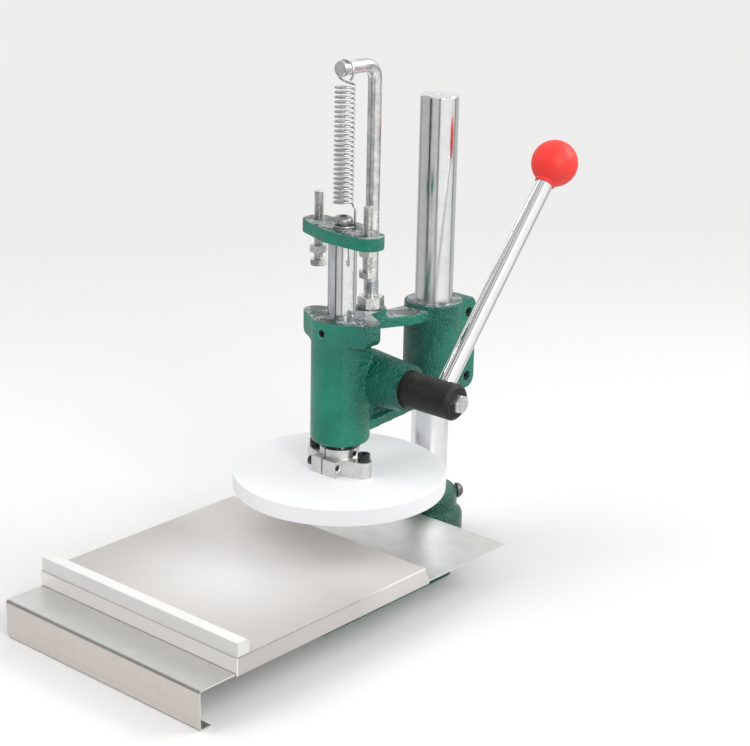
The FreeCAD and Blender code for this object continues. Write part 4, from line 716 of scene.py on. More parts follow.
class Blank:
    """A piece on the bench while it is modelled, in millimetres."""

    def __init__(self) -> None:
        """Takes over the primitive that was just added."""
        self.obj = bpy.context.object

    @classmethod
    def block(cls, low: Point, high: Point) -> "Blank":
        """A block between two corners."""
        centre = [(a + b) / 2 for a, b in zip(low, high)]
        bpy.ops.mesh.primitive_cube_add(size=1, location=centre, scale=[b - a for a, b in zip(low, high)])
        blank = cls()
        blank.settle()
        return blank

    @classmethod
    def bar(cls, radius: float, start: Point, end: Point, sides: int = 96,
            tip: float | None = None, turn: float = 0.0) -> "Blank":
        """A round or many-sided bar from one point to another.

        Args:
            radius: Radius to the corners at the start.
            start: Middle of the first end.
            end: Middle of the other end.
            sides: How many sides it has.
            tip: Radius at the other end, where it differs.
            turn: Turn about its own axis, in degrees.

        Returns:
            The bar.
        """
        first, last = Vector(start), Vector(end)
        length = (last - first).length
        bpy.ops.mesh.primitive_cone_add(
            vertices=sides, radius1=radius, radius2=radius if tip is None else tip, depth=length,
            location=(0, 0, length / 2), rotation=(0, 0, math.radians(turn)))
        blank = cls()
        blank.settle()
        blank.obj.matrix_world = aimed(first, last - first)
        blank.settle()
        return blank

    @classmethod
    def dot(cls, place: Point) -> "Blank":
        """A single vertex, left in edit mode to be pulled out.

        Args:
            place: Where it is.

        Returns:
            The vertex.
        """
        bpy.ops.mesh.primitive_plane_add(size=1, location=(0, 0, 0))
        blank = cls()
        bpy.ops.object.mode_set(mode="EDIT")
        bpy.ops.mesh.select_mode(type="VERT")
        bpy.ops.mesh.merge(type="CENTER")
        bpy.ops.transform.translate(value=place)
        return blank

    @classmethod
    def outline(cls, corners: Sequence[Point], shift: Point) -> "Blank":
        """A prism drawn corner by corner and pulled out.

        Args:
            corners: Points in space, all in one plane.
            shift: How far and which way the face is pulled.

        Returns:
            The prism.
        """
        blank = cls.dot(corners[0])
        for before, after in zip(corners, corners[1:]):
            step = Vector(after) - Vector(before)
            bpy.ops.mesh.extrude_vertices_move(TRANSFORM_OT_translate={"value": step})
        bpy.ops.mesh.select_all(action="SELECT")
        bpy.ops.mesh.edge_face_add()
        pull(shift)
        bpy.ops.object.mode_set(mode="OBJECT")
        return blank.face_out()

    @classmethod
    def across(cls, profile: Sequence[Pair], half: float) -> "Blank":
        """A side view, as (y, z) corners, pulled out by the same half width to the left and to the right."""
        return cls.outline([(-half, y, z) for y, z in profile], (2 * half, 0, 0))

    @classmethod
    def link(cls, reach: float, end: float, middle: float, low: float, high: float, turn: float = 0.0) -> "Blank":
        """A flat bar with round ends and a round swelling in its middle.

        Args:
            reach: From the middle to the centre of each end.
            end: Radius of the ends.
            middle: Radius of the swelling.
            low: Height of its lower face.
            high: Height of its upper face.
            turn: Its turn about the vertical, in radians.

        Returns:
            The bar.
        """
        tangent, steps = math.acos((middle - end) / reach), 24
        left, right = math.pi - tangent, math.pi + tangent
        arcs = ((reach, end, -tangent, tangent), (0, middle, tangent, left), (-reach, end, left, right),
                (0, middle, right, 2 * math.pi - tangent))
        corners = []
        for x, radius, first, last in arcs:
            for index in range(steps + 1):
                angle = first + (last - first) * index / steps
                corners.append((x + radius * math.cos(angle), radius * math.sin(angle), low))
        bar = cls.outline(corners, (0, 0, high - low)).merge(0.001)
        return bar.move(Matrix.Rotation(turn, 4, "Z"))

    @classmethod
    def turned(cls, steps: Sequence[Pair], start: Point = (0, 0, 0), along: Vector = Z_AXIS,
               sides: int = 128) -> "Blank":
        """A piece turned on a lathe, from (radius, height) steps.

        Args:
            steps: The profile from the first end's rim to the last.
            start: The point on the axis that heights are counted from.
            along: The axis.
            sides: How many sides it has.

        Returns:
            The turned piece, closed at both ends.
        """
        radius, height = steps[0]
        bpy.ops.mesh.primitive_circle_add(vertices=sides, radius=radius, fill_type="NGON", location=(0, 0, height))
        blank = cls()
        blank.settle()
        bpy.ops.object.mode_set(mode="EDIT")
        bpy.ops.mesh.select_all(action="SELECT")
        for (radius, height), (wider, higher) in zip(steps, steps[1:]):
            pull((0, 0, higher - height))
            if abs(wider - radius) > 1e-6:
                share = wider / radius
                bpy.ops.transform.resize(value=(share, share, 1), center_override=(0, 0, higher))
        bpy.ops.object.mode_set(mode="OBJECT")
        blank.face_out()
        blank.obj.matrix_world = aimed(Vector(start), along)
        blank.settle()
        return blank

    def settle(self) -> None:
        """Takes the object's own place into its mesh."""
        focus(self.obj)
        bpy.ops.object.transform_apply(location=True, rotation=True, scale=True)

    def face_out(self) -> "Blank":
        """Turns every face outwards."""
        return self.edit(Pick.FACE, every, lambda: bpy.ops.mesh.normals_make_consistent(inside=False))

    def edit(self, kind: Pick, test: Callable[[object], bool], work: Callable[[], object]) -> "Blank":
        """Selects parts of the mesh by a test and works on them in edit mode.

        Args:
            kind: Whether vertices, edges or faces are selected.
            test: Says of one of them whether it is selected.
            work: The edit-mode tools to run.

        Returns:
            This blank.
        """
        focus(self.obj)
        bpy.ops.object.mode_set(mode="EDIT")
        bpy.ops.mesh.select_mode(type=kind.value)
        bpy.ops.mesh.select_all(action="DESELECT")
        mesh = bmesh.from_edit_mesh(self.obj.data)
        parts = {Pick.VERT: mesh.verts, Pick.EDGE: mesh.edges, Pick.FACE: mesh.faces}[kind]
        for part in parts:
            if test(part):
                part.select_set(True)
        bmesh.update_edit_mesh(self.obj.data)
        work()
        bpy.ops.object.mode_set(mode="OBJECT")
        return self

    def bevel(self, width: float, segments: int, test: EdgeTest) -> "Blank":
        """Rounds or chamfers the edges that a test picks."""
        return self.edit(Pick.EDGE, test, lambda: bpy.ops.mesh.bevel(
            offset=width, segments=segments, affect="EDGES", clamp_overlap=True, loop_slide=True))

    def slice(self, point: Point, normal: Point) -> "Blank":
        """Cuts off what lies on the normal's side of a plane and closes the cut."""
        return self.edit(Pick.FACE, every, lambda: bpy.ops.mesh.bisect(
            plane_co=point, plane_no=normal, use_fill=True, clear_outer=True))

    def modify(self, kind: str, **settings: object) -> "Blank":
        """Adds a modifier, sets it up and applies it."""
        focus(self.obj)
        modifier = self.obj.modifiers.new(kind, kind)
        for key, value in settings.items():
            setattr(modifier, key, value)
        bpy.ops.object.modifier_apply(modifier=modifier.name)
        return self

    def combine(self, operation: Operation, *others: "Blank") -> "Blank":
        """Cuts, welds or keeps what is common with other blanks, which are used up."""
        for other in others:
            self.modify("BOOLEAN", operation=operation.value, object=other.obj, solver="MANIFOLD")
            bpy.data.objects.remove(other.obj)
        return self

    def cut(self, *tools: "Blank") -> "Blank":
        """Takes the tools' shapes out."""
        return self.combine(Operation.CUT, *tools)

    def bore(self, radius: float, start: Point, end: Point, sides: int = 96) -> "Blank":
        """Drills a round hole from one point to another."""
        return self.cut(Blank.bar(radius, start, end, sides))

    def weld(self, *others: "Blank") -> "Blank":
        """Makes one solid with the others."""
        return self.combine(Operation.WELD, *others)

    def join(self, *others: "Blank") -> "Blank":
        """Takes the others' meshes in as they are."""
        focus(self.obj)
        for other in others:
            other.obj.select_set(True)
        bpy.ops.object.join()
        return self

    def move(self, matrix: Matrix) -> "Blank":
        """Puts the blank somewhere else."""
        self.obj.matrix_world = matrix @ self.obj.matrix_world
        self.settle()
        return self

    def merge(self, gap: float) -> "Blank":
        """Joins vertices that lie on each other."""
        return self.edit(Pick.VERT, every, lambda: bpy.ops.mesh.remove_doubles(threshold=gap))

    def cast(self, voxel: float, softness: int) -> "Blank":
        """Melts the shapes into one and rounds every corner, as a sand mould does."""
        self.modify("REMESH", mode="VOXEL", voxel_size=voxel, use_smooth_shade=True)
        return self.modify("SMOOTH", factor=0.5, iterations=softness)

    def crease(self, width: float, segments: int = 2, angle: float = 35.0) -> "Blank":
        """Breaks every sharp edge by the same small width."""
        return self.modify("BEVEL", width=width, segments=segments, limit_method="ANGLE",
                           angle_limit=math.radians(angle), use_clamp_overlap=True, harden_normals=False)

    def done(self, name: str, finish: Finish, body: Body | None, *nodes: str, flat: bool = True) -> bpy.types.Object:
        """Brings the piece to metres, dresses it and hands it to its body.

        Args:
            name: The piece's name.
            finish: Its finish.
            body: The body it rides on, or None where it rides on none.
            *nodes: The CAD nodes it stands for.
            flat: Whether large flat faces keep their own normals.

        Returns:
            The finished object.
        """
        self.obj.matrix_world = Matrix.Scale(MM, 4)
        self.settle()
        self.obj.name = self.obj.data.name = name
        bpy.ops.object.shade_smooth_by_angle(angle=SMOOTH_ANGLE)
        if flat:
            self.modify("WEIGHTED_NORMAL", keep_sharp=True)
        self.obj.data.materials.clear()
        self.obj.data.materials.append(finish.material())
        if nodes:
            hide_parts(*nodes)
        if body:
            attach(self.obj, body.value)
        log.info("%s: %d faces, stands for %s", name, len(self.obj.data.polygons), ", ".join(nodes) or "itself")
        return self.obj


def quarter_bulge(start: Pair, end: Pair, steps: int = 9) -> list[Pair]:
    """Lathe steps of a quarter round that leaves its start upright and comes level at its end."""
    (wide, low), (narrow, high) = start, end
    turns = [math.pi / 2 * index / steps for index in range(1, steps + 1)]
    return [(narrow + (wide - narrow) * math.cos(turn), low + (high - low) * math.sin(turn)) for turn in turns]


def edge_near(height: float, slack: float = 0.01, axis: int = 2) -> EdgeTest:
    """Picks edges that lie in one plane across an axis."""
    return lambda edge: all(abs(vert.co[axis] - height) < slack for vert in edge.verts)


def edge_along(axis: int, places: Sequence[Pair], slack: float = 0.05) -> EdgeTest:
    """Picks edges that run along an axis at given places in the two other directions."""
    others = [index for index in range(3) if index != axis]

    def test(edge: bmesh.types.BMEdge) -> bool:
        """Whether both ends are at one of the places."""
        first, last = edge.verts[0].co, edge.verts[1].co
        if any(abs(first[index] - last[index]) > slack for index in others):
            return False
        return any(all(abs(first[index] - part) < slack for index, part in zip(others, place)) for place in places)

    return test


@dataclass(frozen=True)
class Thread:
    """A metric screw thread."""

    radius: float  # Radius over the crests
    pitch: float  # Rise in one turn
    depth: float = 0.61  # Depth of the thread in pitches

    def rod(self, start: Point, along: Vector, length: float, chamfer: float = 0.8, sides: int = 28) -> Blank:
        """A threaded rod with flat ends and a chamfered tip.

        Args:
            start: The first end's middle.
            along: The way it runs.
            length: Its length.
            chamfer: Chamfer at the far end.
            sides: Steps in one turn.

        Returns:
            The rod, closed.
        """
        pitch, crest = self.pitch, self.radius
        root = crest - pitch * self.depth
        profile = [(root, 0), (root, pitch * 0.14), (crest, pitch * 0.44), (crest, pitch * 0.6), (root, pitch * 0.9),
                   (root, pitch)]
        blank = Blank.dot((root, 0, -2 * pitch))
        for (r0, z0), (r1, z1) in zip(profile, profile[1:]):
            bpy.ops.mesh.extrude_vertices_move(TRANSFORM_OT_translate={"value": (r1 - r0, 0, z1 - z0)})
        bpy.ops.object.mode_set(mode="OBJECT")
        turns = math.ceil(length / pitch) + 4
        blank.modify("SCREW", angle=2 * math.pi, screw_offset=pitch, iterations=turns, steps=sides, render_steps=sides,
                     use_merge_vertices=True, merge_threshold=pitch * 0.01)
        blank.merge(pitch * 0.005).slice((0, 0, 0), (0, 0, -1)).slice((0, 0, length), (0, 0, 1)).face_out()
        clear = crest + 1
        limit = Blank.turned([(clear, -1), (clear, length - chamfer - 1), (crest - chamfer, length + 1)], sides=48)
        return blank.combine(Operation.KEEP, limit).move(aimed(Vector(start), along))


@dataclass(frozen=True)
class HexSize:
    """A hexagon's size."""

    flats: float  # Width across its flats
    height: float  # Its height

    def head(self, base: Point, along: Vector, turn: float = 0.0, both: bool = False) -> Blank:
        """A hexagon head or nut body whose corners are turned off.

        Args:
            base: The middle of the face it stands on.
            along: The way it stands.
            turn: Turn about its axis, in degrees.
            both: Whether the corners are turned off at both ends, as on a nut.

        Returns:
            The hexagon.
        """
        corner, inner = self.flats / math.sqrt(3), self.flats * 0.485
        fall, clear = (corner - inner) * math.tan(math.radians(30)), corner + 0.01
        body = Blank.bar(corner, (0, 0, 0), (0, 0, self.height), sides=6, turn=turn)
        low = [(inner, 0), (clear, fall)] if both else [(clear, 0)]
        trim = Blank.turned(low + [(clear, self.height - fall), (inner, self.height)], sides=72)
        return body.combine(Operation.KEEP, trim).move(aimed(Vector(base), along))


@dataclass(frozen=True)
class SocketSize:
    """A round head with a hexagon socket."""

    diameter: float  # The head's diameter
    height: float  # The head's height, or how deep the socket is in a headless screw
    key: float  # Width across the socket's flats
    rim: float = 0.6  # Radius of the head's rounded rim

    def head(self, base: Point, along: Vector, turn: float = 0.0, domed: bool = False) -> Blank:
        """The head on its base.

        Args:
            base: The middle of the face it stands on.
            along: The way it stands.
            turn: Turn of the socket about its axis, in degrees.
            domed: Whether it is domed from rim to socket, instead of rounded at its rim.

        Returns:
            The head with its socket.
        """
        half, rise = self.diameter / 2, self.height
        steps = self.dome_steps() if domed else [(half, 0), (half, rise)]
        body = Blank.turned(steps, sides=64)
        if not domed:
            body.bevel(self.rim, 3, edge_near(rise))
        return self.sink(body, steps[-1][1], turn).move(aimed(Vector(base), along))

    def dome_steps(self) -> list[Pair]:
        """Lathe steps of a dome from the head's rim to its socket.

        Returns:
            The steps.
        """
        half, rise = self.diameter / 2, self.height
        ball = (half * half + rise * rise) / (2 * rise)
        first, last = math.asin(half / ball), math.asin(self.key * 0.66 / ball)
        turns = [first + (last - first) * index / 8 for index in range(9)]
        return [(ball * math.sin(angle), ball * math.cos(angle) - ball + rise) for angle in turns]

    def sink(self, body: Blank, top: float, turn: float = 0.0) -> Blank:
        """Cuts the socket into a body: its chamfered mouth, its hexagon and the drill's point under it.

        Args:
            body: The body, whose axis is the z axis.
            top: Height of the face that the socket opens in.
            turn: Turn of the socket about its axis, in degrees.

        Returns:
            The body.
        """
        corner, depth = self.key / math.sqrt(3), self.key * 0.62
        wide, drilled, bottom = corner + 0.25, corner * 0.8, top - depth
        mouth = Blank.turned([(corner * 0.9, top - 0.55), (wide, top + 0.05), (wide, top + 1)], sides=32)
        hole = Blank.bar(corner, (0, 0, bottom), (0, 0, top + 1), sides=6, turn=turn)
        drill = Blank.turned([(0.1, bottom - self.key * 0.24), (drilled, bottom), (drilled, top - 1)], sides=32)
        return body.cut(mouth, hole, drill)

    def grub(self, base: Point, along: Vector, length: float) -> Blank:
        """A headless screw.

        Args:
            base: The middle of the face that its socket opens in.
            along: The way its body runs from there.
            length: Its length.

        Returns:
            The screw.
        """
        half = self.diameter / 2
        body = Blank.turned([(half - 0.5, -length), (half, -length + 0.5), (half, -0.4), (half - 0.4, 0)], sides=48)
        return self.sink(body, 0.0).move(aimed(Vector(base), -along))


M6_SCREW = SocketSize(10.0, 6.0, 5.0)
M8_SCREW = SocketSize(13.0, 8.0, 6.0)


@dataclass
class Tray:
    """The folded stainless tray that the mould slides on."""

    half: float = 134.0  # Half its width
    front: float = -329.0  # Where its front lip stands
    back: float = 110.0  # Its back edge
    top: float = 40.0  # Height of its upper face
    sheet: float = 1.5  # Sheet thickness
    turn_back: float = 14.0  # Edge turned back under the lip
    bend: float = 3.5  # Outer radius of its folds
    sink: float = 2.6  # How deep its screws are countersunk
    # Where it is screwed to the foot, in plan
    screws: tuple[Pair, ...] = ((-60, -98), (-60, -36), (60, -98), (60, -36))

    def build(self) -> None:
        """The sheet and its screws."""
        self.fold_sheet().done("tray_folded", Finishes.STAINLESS, Body.STAND, "tray_sheet")
        heads = [self.screw(x, y) for x, y in self.screws]
        heads[0].join(*heads[1:]).done("tray_sunk_screws", Finishes.ZINC, Body.STAND, "tray_screws")

    def fold_sheet(self) -> Blank:
        """Draws the folded profile, pulls it across and rounds the folds.

        Returns:
            The sheet.
        """
        front, top, sheet = self.front, self.top, self.sheet
        lip, inner, under = front + self.turn_back, front + sheet, top - sheet
        profile = [(self.back, top), (front, top), (front, 0), (lip, 0), (lip, sheet), (inner, sheet), (inner, under),
                   (self.back, under)]
        tray = Blank.across(profile, self.half)
        tray.bevel(self.bend, 7, edge_along(0, [(front, top), (front, 0)]))
        tray.bevel(self.bend - sheet, 5, edge_along(0, [(inner, sheet), (inner, under)]))
        countersink = [(M6_HOLE, -18), (M6_HOLE, -self.sink), (5.6, 0), (5.6, 1)]
        for x, y in self.screws:
            tray.cut(Blank.turned(countersink, (x, y, top), sides=40))
        return tray.crease(0.22, 2, 50)

    def screw(self, x: float, y: float) -> Blank:
        """One countersunk screw with a hexagon socket."""
        body = Blank.turned([(3.0, -16), (3.0, -self.sink), (5.5, 0)], sides=40)
        return SocketSize(11.0, self.sink, 4.0).sink(body, 0.0).move(Matrix.Translation((x, y, self.top)))


@dataclass
class LowerMould:
    """The folded pan that slides on the tray like a drawer, with its board and its pull bar."""

    half: float = 135.6  # Half its width
    front: float = -284.0  # Its front face
    back: float = -21.0  # Its back face
    top: float = 56.0  # Height of its upper face
    sheet: float = 1.2  # Sheet thickness
    deck: float = 40.4  # Height of the tray's upper face
    lip: float = 8.0  # Edge turned in under the tray
    lip_low: float = 36.6  # Underside of that edge
    lean: float = 7.0  # How far the side flanges run on behind at their feet
    fold: float = 1.8  # Outer radius of its folds
    bar_depth: float = 15.0  # The pull bar's depth
    bar_height: float = 14.0  # Its height
    bar_front: float = -282.5  # Its front face
    bar_screws: Triple = (-105, 0, 105)  # Where its three screws are, across the press

    def build(self) -> None:
        """The pan, the board and the bar."""
        self.pan().done("mould_pan", Finishes.MOULD, Body.DRAWER, "lower_die")
        self.board().done("mould_board", Finishes.BOARD, Body.DRAWER, "die_core")
        self.bar().done("mould_pull_bar", Finishes.BAR, Body.DRAWER, "pull_bar")
        dress_node("pull_bar_screws", Finishes.ZINC)

    def pan(self) -> Blank:
        """Folds the pan's section, pulls it back and closes its front and rear.

        Returns:
            The pan.
        """
        half, inner, t = self.half, self.half - self.sheet, self.sheet
        lip, low, top = inner - self.lip, self.lip_low, self.top
        back, behind, over = self.back, self.back + self.lean, top + 5
        right = [(lip, low), (half, low), (half, top)]
        under = [(inner, top - t), (inner, low + t), (lip, low + t)]
        section = right + [(-x, z) for x, z in reversed(right)]
        section += [(-x, z) for x, z in reversed(under)] + under
        pan = Blank.outline([(x, self.front, z) for x, z in section], (0, behind - self.front, 0))
        pan.bevel(self.fold, 5, edge_along(1, [(half, top), (-half, top), (half, low), (-half, low)]))
        pan.bevel(self.fold - t, 3, edge_along(1, [(side * inner, z) for z in (top - t, low + t) for side in SIDES]))
        wedge = [(back, over), (back, top - self.fold), (behind, low - 0.02), (behind + 5, low - 0.02),
                 (behind + 5, over)]
        pan.cut(Blank.across(wedge, half + 5))
        wall_top = top - t * 0.5
        rear = Blank.block((-inner + 0.15, back - t, self.deck), (inner - 0.15, back - 0.01, wall_top))
        front = Blank.block((-half + 0.3, self.front + 0.01, self.deck), (half - 0.3, self.front + t, wall_top))
        pan.weld(rear, front)
        pan.bevel(1.1, 4, lambda edge: all(abs(v.co.y - self.front) < 0.03 and v.co.z > top - 0.05 for v in edge.verts))
        return pan.crease(0.18, 2, 50)

    def board(self) -> Blank:
        """The board inside the pan.

        Returns:
            The board.
        """
        x, back = self.half - self.sheet - 1.0, self.back - self.sheet - 1.0
        board = Blank.block((-x, self.bar_front + self.bar_depth, self.deck), (x, back, self.top - self.sheet))
        return board.crease(0.6, 2)

    def bar(self) -> Blank:
        """The plastic bar: square in front, rounded along its rear upper edge.

        Returns:
            The bar.
        """
        front, back = self.bar_front, self.bar_front + self.bar_depth
        low, high, x = self.top, self.top + self.bar_height, self.half - 0.6
        bar = Blank.block((-x, front, low), (x, back, high))
        bar.bevel(4.5, 8, edge_along(0, [(back, high)]))
        bar.bevel(1.0, 4, edge_along(0, [(front, high)]))
        for place in self.bar_screws:
            bar.bore(2.55, (place, (front + back) / 2, low - 1), (place, (front + back) / 2, low + 11), 24)
        return bar.crease(0.45, 3)


def dress_node(name: str, finish: Finish) -> None:
    """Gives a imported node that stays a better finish.

    Args:
        name: The node's name.
        finish: Its finish.
    """
    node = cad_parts[name]
    for place in node.material_slots:
        place.material = finish.material()
    log.info("%s: the packed node, dressed", name)


@dataclass
class Foot:
    """The iron foot under the tray with the column's stepped socket."""

    half: float = 87.0  # Half the plate's width
    front: float = -125.0  # The plate's front edge
    back: float = 87.0  # Its back edge
    top: float = 38.5  # Height of its upper face
    wall: float = 10.0  # Its walls
    deck: float = 9.0  # Its deck's thickness
    rib: float = 9.0  # Its ribs
    boss: float = 8.0  # Radius of the bosses that take the tray's screws
    corner: float = 10.0  # Radius of the plate's corners
    spare: float = 1.2  # How far the raw casting stands under its ground underside
    column_y: float = COLUMN_Y  # The column's axis
    hub: float = 38.6  # Radius of the socket's wide hub
    neck: float = 32.1  # Radius of its narrower top
    rim: float = 59.0  # Height of its rim
    bolt_z: float = 49.0  # Height of the lock bolt
    bolt_turn: float = math.radians(55)  # Its turn from the lever's side towards the back
    stand_off: float = 32.3  # From the column's axis to the lock bolt's head
    column_radius: float = 20.0  # The column's radius
    column_top: float = 489.0  # Its top

    def build(self) -> None:
        """The casting, its lock bolt and the column."""
        self.casting().done("foot_iron", Finishes.ENAMEL, Body.STAND, "base_casting", flat=False)
        self.lock_bolt().done("foot_lock_bolt", Finishes.DARK_BOLT, Body.STAND, "base_lock_bolt")
        self.column().done("column_bar", Finishes.COLUMN, Body.STAND, "column")

    def socket(self) -> Blank:
        """The stepped tower: a wide hub, a rounded shoulder and a narrower socket with a rounded rim.

        Returns:
            The tower.
        """
        shoulder, rounding = (self.hub, 25), (self.neck, 48.5)
        steps = [(self.hub, -self.spare), shoulder] + quarter_bulge(shoulder, (self.neck, 33.1))
        steps += [rounding] + quarter_bulge(rounding, (23.0, self.rim + 0.6))
        return Blank.turned(steps, (0, self.column_y, 0))

    def pockets(self) -> list[Blank]:
        """The four hollows under the deck, with the screw bosses left standing in them.

        Returns:
            The hollows.
        """
        inner, half_rib, middle, found = self.half - self.wall, self.rib / 2, (self.back + self.front) / 2, []
        for x0, x1 in ((-inner, -half_rib), (half_rib, inner)):
            for y0, y1 in ((self.front + self.wall, middle - half_rib), (middle + half_rib, self.back - self.wall)):
                pocket = Blank.block((x0, y0, -6), (x1, y1, self.top - self.deck))
                pocket.bevel(5, 4, lambda edge: min(v.co.z for v in edge.verts) > -5.9 or
                             edge.verts[0].co.z != edge.verts[1].co.z)
                for x, y in Tray.screws:
                    if x0 < x < x1 and y0 < y + self.boss and y - self.boss < y1:
                        pocket.bore(self.boss, (x, y, 18), (x, y, 40), 48)
                found.append(pocket)
        return found

    def casting(self) -> Blank:
        """Plate, neck and socket melted into one, hollowed, bored and ground flat underneath.

        Returns:
            The casting.
        """
        half, y, big = self.half, self.column_y, 400
        foot = Blank.block((-half, self.front, -self.spare), (half, self.back, self.top + 2))
        corners = [(side * half, end) for side in SIDES for end in (self.front, self.back)]
        foot.bevel(self.corner, 10, edge_along(2, corners))
        neck = Blank.block((-33, self.back - 10, -self.spare), (33, y, 26))
        foot.join(neck, self.socket()).cast(1.5, 3)
        foot.cut(*self.pockets()).bore(COLUMN_BORE, (0, y, 6), (0, y, 90))
        foot.bore(M10_HOLE, (0, y, self.bolt_z), self.on_bolt(60), 40)
        for x, place in Tray.screws:
            foot.bore(M6_HOLE, (x, place, 12), (x, place, 44), 24)
        foot.cut(Blank.block((-big, -big, self.top), (big, self.back + 2.5, 90)),
                 Blank.block((-big, -big, -20), (big, big, 0)),
                 Blank.block((-50, y - 50, self.rim), (50, y + 50, 90)))
        return foot

    def on_bolt(self, distance: float) -> Vector:
        """A point on the lock bolt's axis, so far from the column's axis."""
        x, y = math.cos(self.bolt_turn) * distance, self.column_y + math.sin(self.bolt_turn) * distance
        return Vector((x, y, self.bolt_z))

    def lock_bolt(self) -> Blank:
        """The domed screw through the socket's wall against the column.

        Returns:
            The screw.
        """
        outwards = self.on_bolt(1) - self.on_bolt(0)
        bolt = SocketSize(17.0, 8.0, 6.0).head(self.on_bolt(self.stand_off), outwards, 8, domed=True)
        return bolt.weld(Blank.bar(M10_SHANK, self.on_bolt(20.3), self.on_bolt(self.stand_off + 0.5), sides=40))

    def column(self) -> Blank:
        """The ground bar with its chamfers and the lathe's centre mark.

        Returns:
            The bar.
        """
        top, r, chamfer = self.column_top, self.column_radius, 1.5
        mark = [(2.6, top), (1.0, top - 2.2), (0.3, top - 2.6)]
        steps = [(r - chamfer, 6.3), (r, 7.8), (r, top - chamfer), (r - chamfer, top)] + mark
        return Blank.turned(steps, (0, self.column_y, 0)).crease(0.25, 3, 30)


@dataclass
class Head:
    """The head casting on the column and what is screwed to it."""

    foot: float = 152.0  # The housing's foot
    top: float = HEAD_TOP  # The machined top of housing and ears
    spare: float = 2.5  # How far the raw casting stands over that top
    radius: float = 30.6  # The raw housing's radius
    pinion_y: float = PINION_Y  # The pinion's axis in plan
    pinion_z: float = PINION_Z  # Its height
    faces: Pair = (-36, 68)  # The boss's machined faces, along the pinion
    column_y: float = COLUMN_Y  # The column's axis
    rod_y: float = ROD_Y  # The spring rod's axis
    seat: float = 16.1  # Radius of the rod's seat
    seat_depth: float = 20.5  # How far it reaches down from the raw top
    arm: float = 17.6  # The arm's half width
    arm_thickness: float = 10.7  # Its thickness
    web: float = 5.1  # The web's half width
    web_rim: float = 17.2  # Half width of the rim along the web's foot
    slit: float = 1.75  # Half the width of the clamp's slit
    screw_y: float = 182.5  # The clamp screws' axis
    screw_heights: Pair = (180.0, 252.0)  # Their heights
    screw_face: float = 11.5  # Where their heads sit
    guide_z: float = 271.0  # Height of the ram's guide screw

    def build(self) -> None:
        """The casting and its fasteners."""
        self.casting().done("head_iron", Finishes.ENAMEL, Body.HEAD, "head_casting", flat=False)
        low, high = [self.clamp_screw(height) for height in self.screw_heights]
        low.join(high).done("head_clamp_screws", Finishes.BLACK, Body.HEAD, "clamp_screws")
        guide = SocketSize(8.0, 3.0, 4.0).grub((0, -29.5, self.guide_z), Y_AXIS, 14.7)
        guide.weld(Blank.bar(2.7, (0, -15.5, self.guide_z), (0, -11.8, self.guide_z), sides=32))
        guide.done("head_guide_screw", Finishes.BLACK, Body.HEAD, "ram_guide_screw")
        dress_node("pinion_bush", Finishes.BRONZE)

    def cast_shapes(self) -> list[Blank]:
        """The plain shapes that the casting is melted from.

        Returns:
            The shapes, the housing first.
        """
        y, z, top, foot, col = self.pinion_y, self.pinion_z, self.top + self.spare, self.foot, self.column_y
        ears = Blank.link(33.9, 13.6, 30.2, 258.9, top)
        for side in SIDES:
            ears.slice((side * 47.5, 0, 267.6), (side * 9, 0, -17))
        end, seat_low = col - 15, top - self.seat_depth
        arm = [(0, self.top - 4.2), (44, self.top - 8.5), (94, self.top - 16), (end, self.top - 17.5)]
        arm += [(reach, height - self.arm_thickness) for reach, height in reversed(arm)]
        under = [(0, foot + 4), (end, 164)]
        clamp_back, clamp_low, clamp_high = 195.7, 165.8, 268.7
        clamp_ears = Blank.block((-19.2, col, clamp_low), (19.2, clamp_back, clamp_high))
        clamp_ears.bevel(12, 8, edge_along(0, [(clamp_back, clamp_low), (clamp_back, clamp_high)]))
        return [
            Blank.turned([(26.8, foot), (29.5, foot + 1.2), (self.radius, foot + 4.2), (self.radius, top)], sides=160),
            ears,
            Blank.bar(self.seat, (0, self.rod_y, seat_low), (0, self.rod_y, top), 72),
            Blank.block((-self.seat, 0, seat_low), (self.seat, self.rod_y, top)),
            Blank.across(arm, self.arm),
            Blank.bar(29.2, (10, y, z), (71, y, z), 128, tip=23.6),
            Blank.bar(23.1, (-39, y, z), (0, y, z), 96),
            Blank.across(under + [(end, 202), (0, 202)], self.web),
            Blank.across(under + [(end, 173.6), (0, foot + 13.6)], self.web_rim),
            Blank.bar(31.1, (0, col, 162.7), (0, col, 270.3), 128),
            clamp_ears,
        ]

    def casting(self) -> Blank:
        """The shapes melted into one, then faced, bored and slit.

        Returns:
            The casting.
        """
        y, z, col, (far, near) = self.pinion_y, self.pinion_z, self.column_y, self.faces
        shapes = self.cast_shapes()
        head = shapes[0].join(*shapes[1:]).cast(1.3, 4)
        head.cut(Blank.block((-90, -60, self.top), (90, 90, self.top + 40)),
                 Blank.block((near, -20, 150), (90, 80, 260)),
                 Blank.block((-60, -20, 150), (far, 80, 260)))
        head.bore(RAM_BORE, (0, 0, 100), (0, 0, 320)).bore(COLUMN_BORE, (0, col, 140), (0, col, 300), 128)
        head.bore(19.05, (-15.3, y, z), (90, y, z)).bore(14.1, (-60, y, z), (-10, y, z), 64)
        head.bore(8.05, (0, self.rod_y, 250), (0, self.rod_y, 300), 48)
        guide = [(M8_HOLE, 0), (M8_HOLE, 17.6), (5.2, 18.8), (5.2, 26)]
        head.cut(Blank.turned(guide, (0, -12, self.guide_z), -Y_AXIS, 48))
        head.cut(Blank.block((-self.slit, col, 150), (self.slit, 210, 280)))
        for height in self.screw_heights:
            tip, face, end = [(x, self.screw_y, height) for x in (-30, self.screw_face, 30)]
            head.bore(M6_HOLE, tip, end, 32).bore(5.4, face, end, 48)
        return head

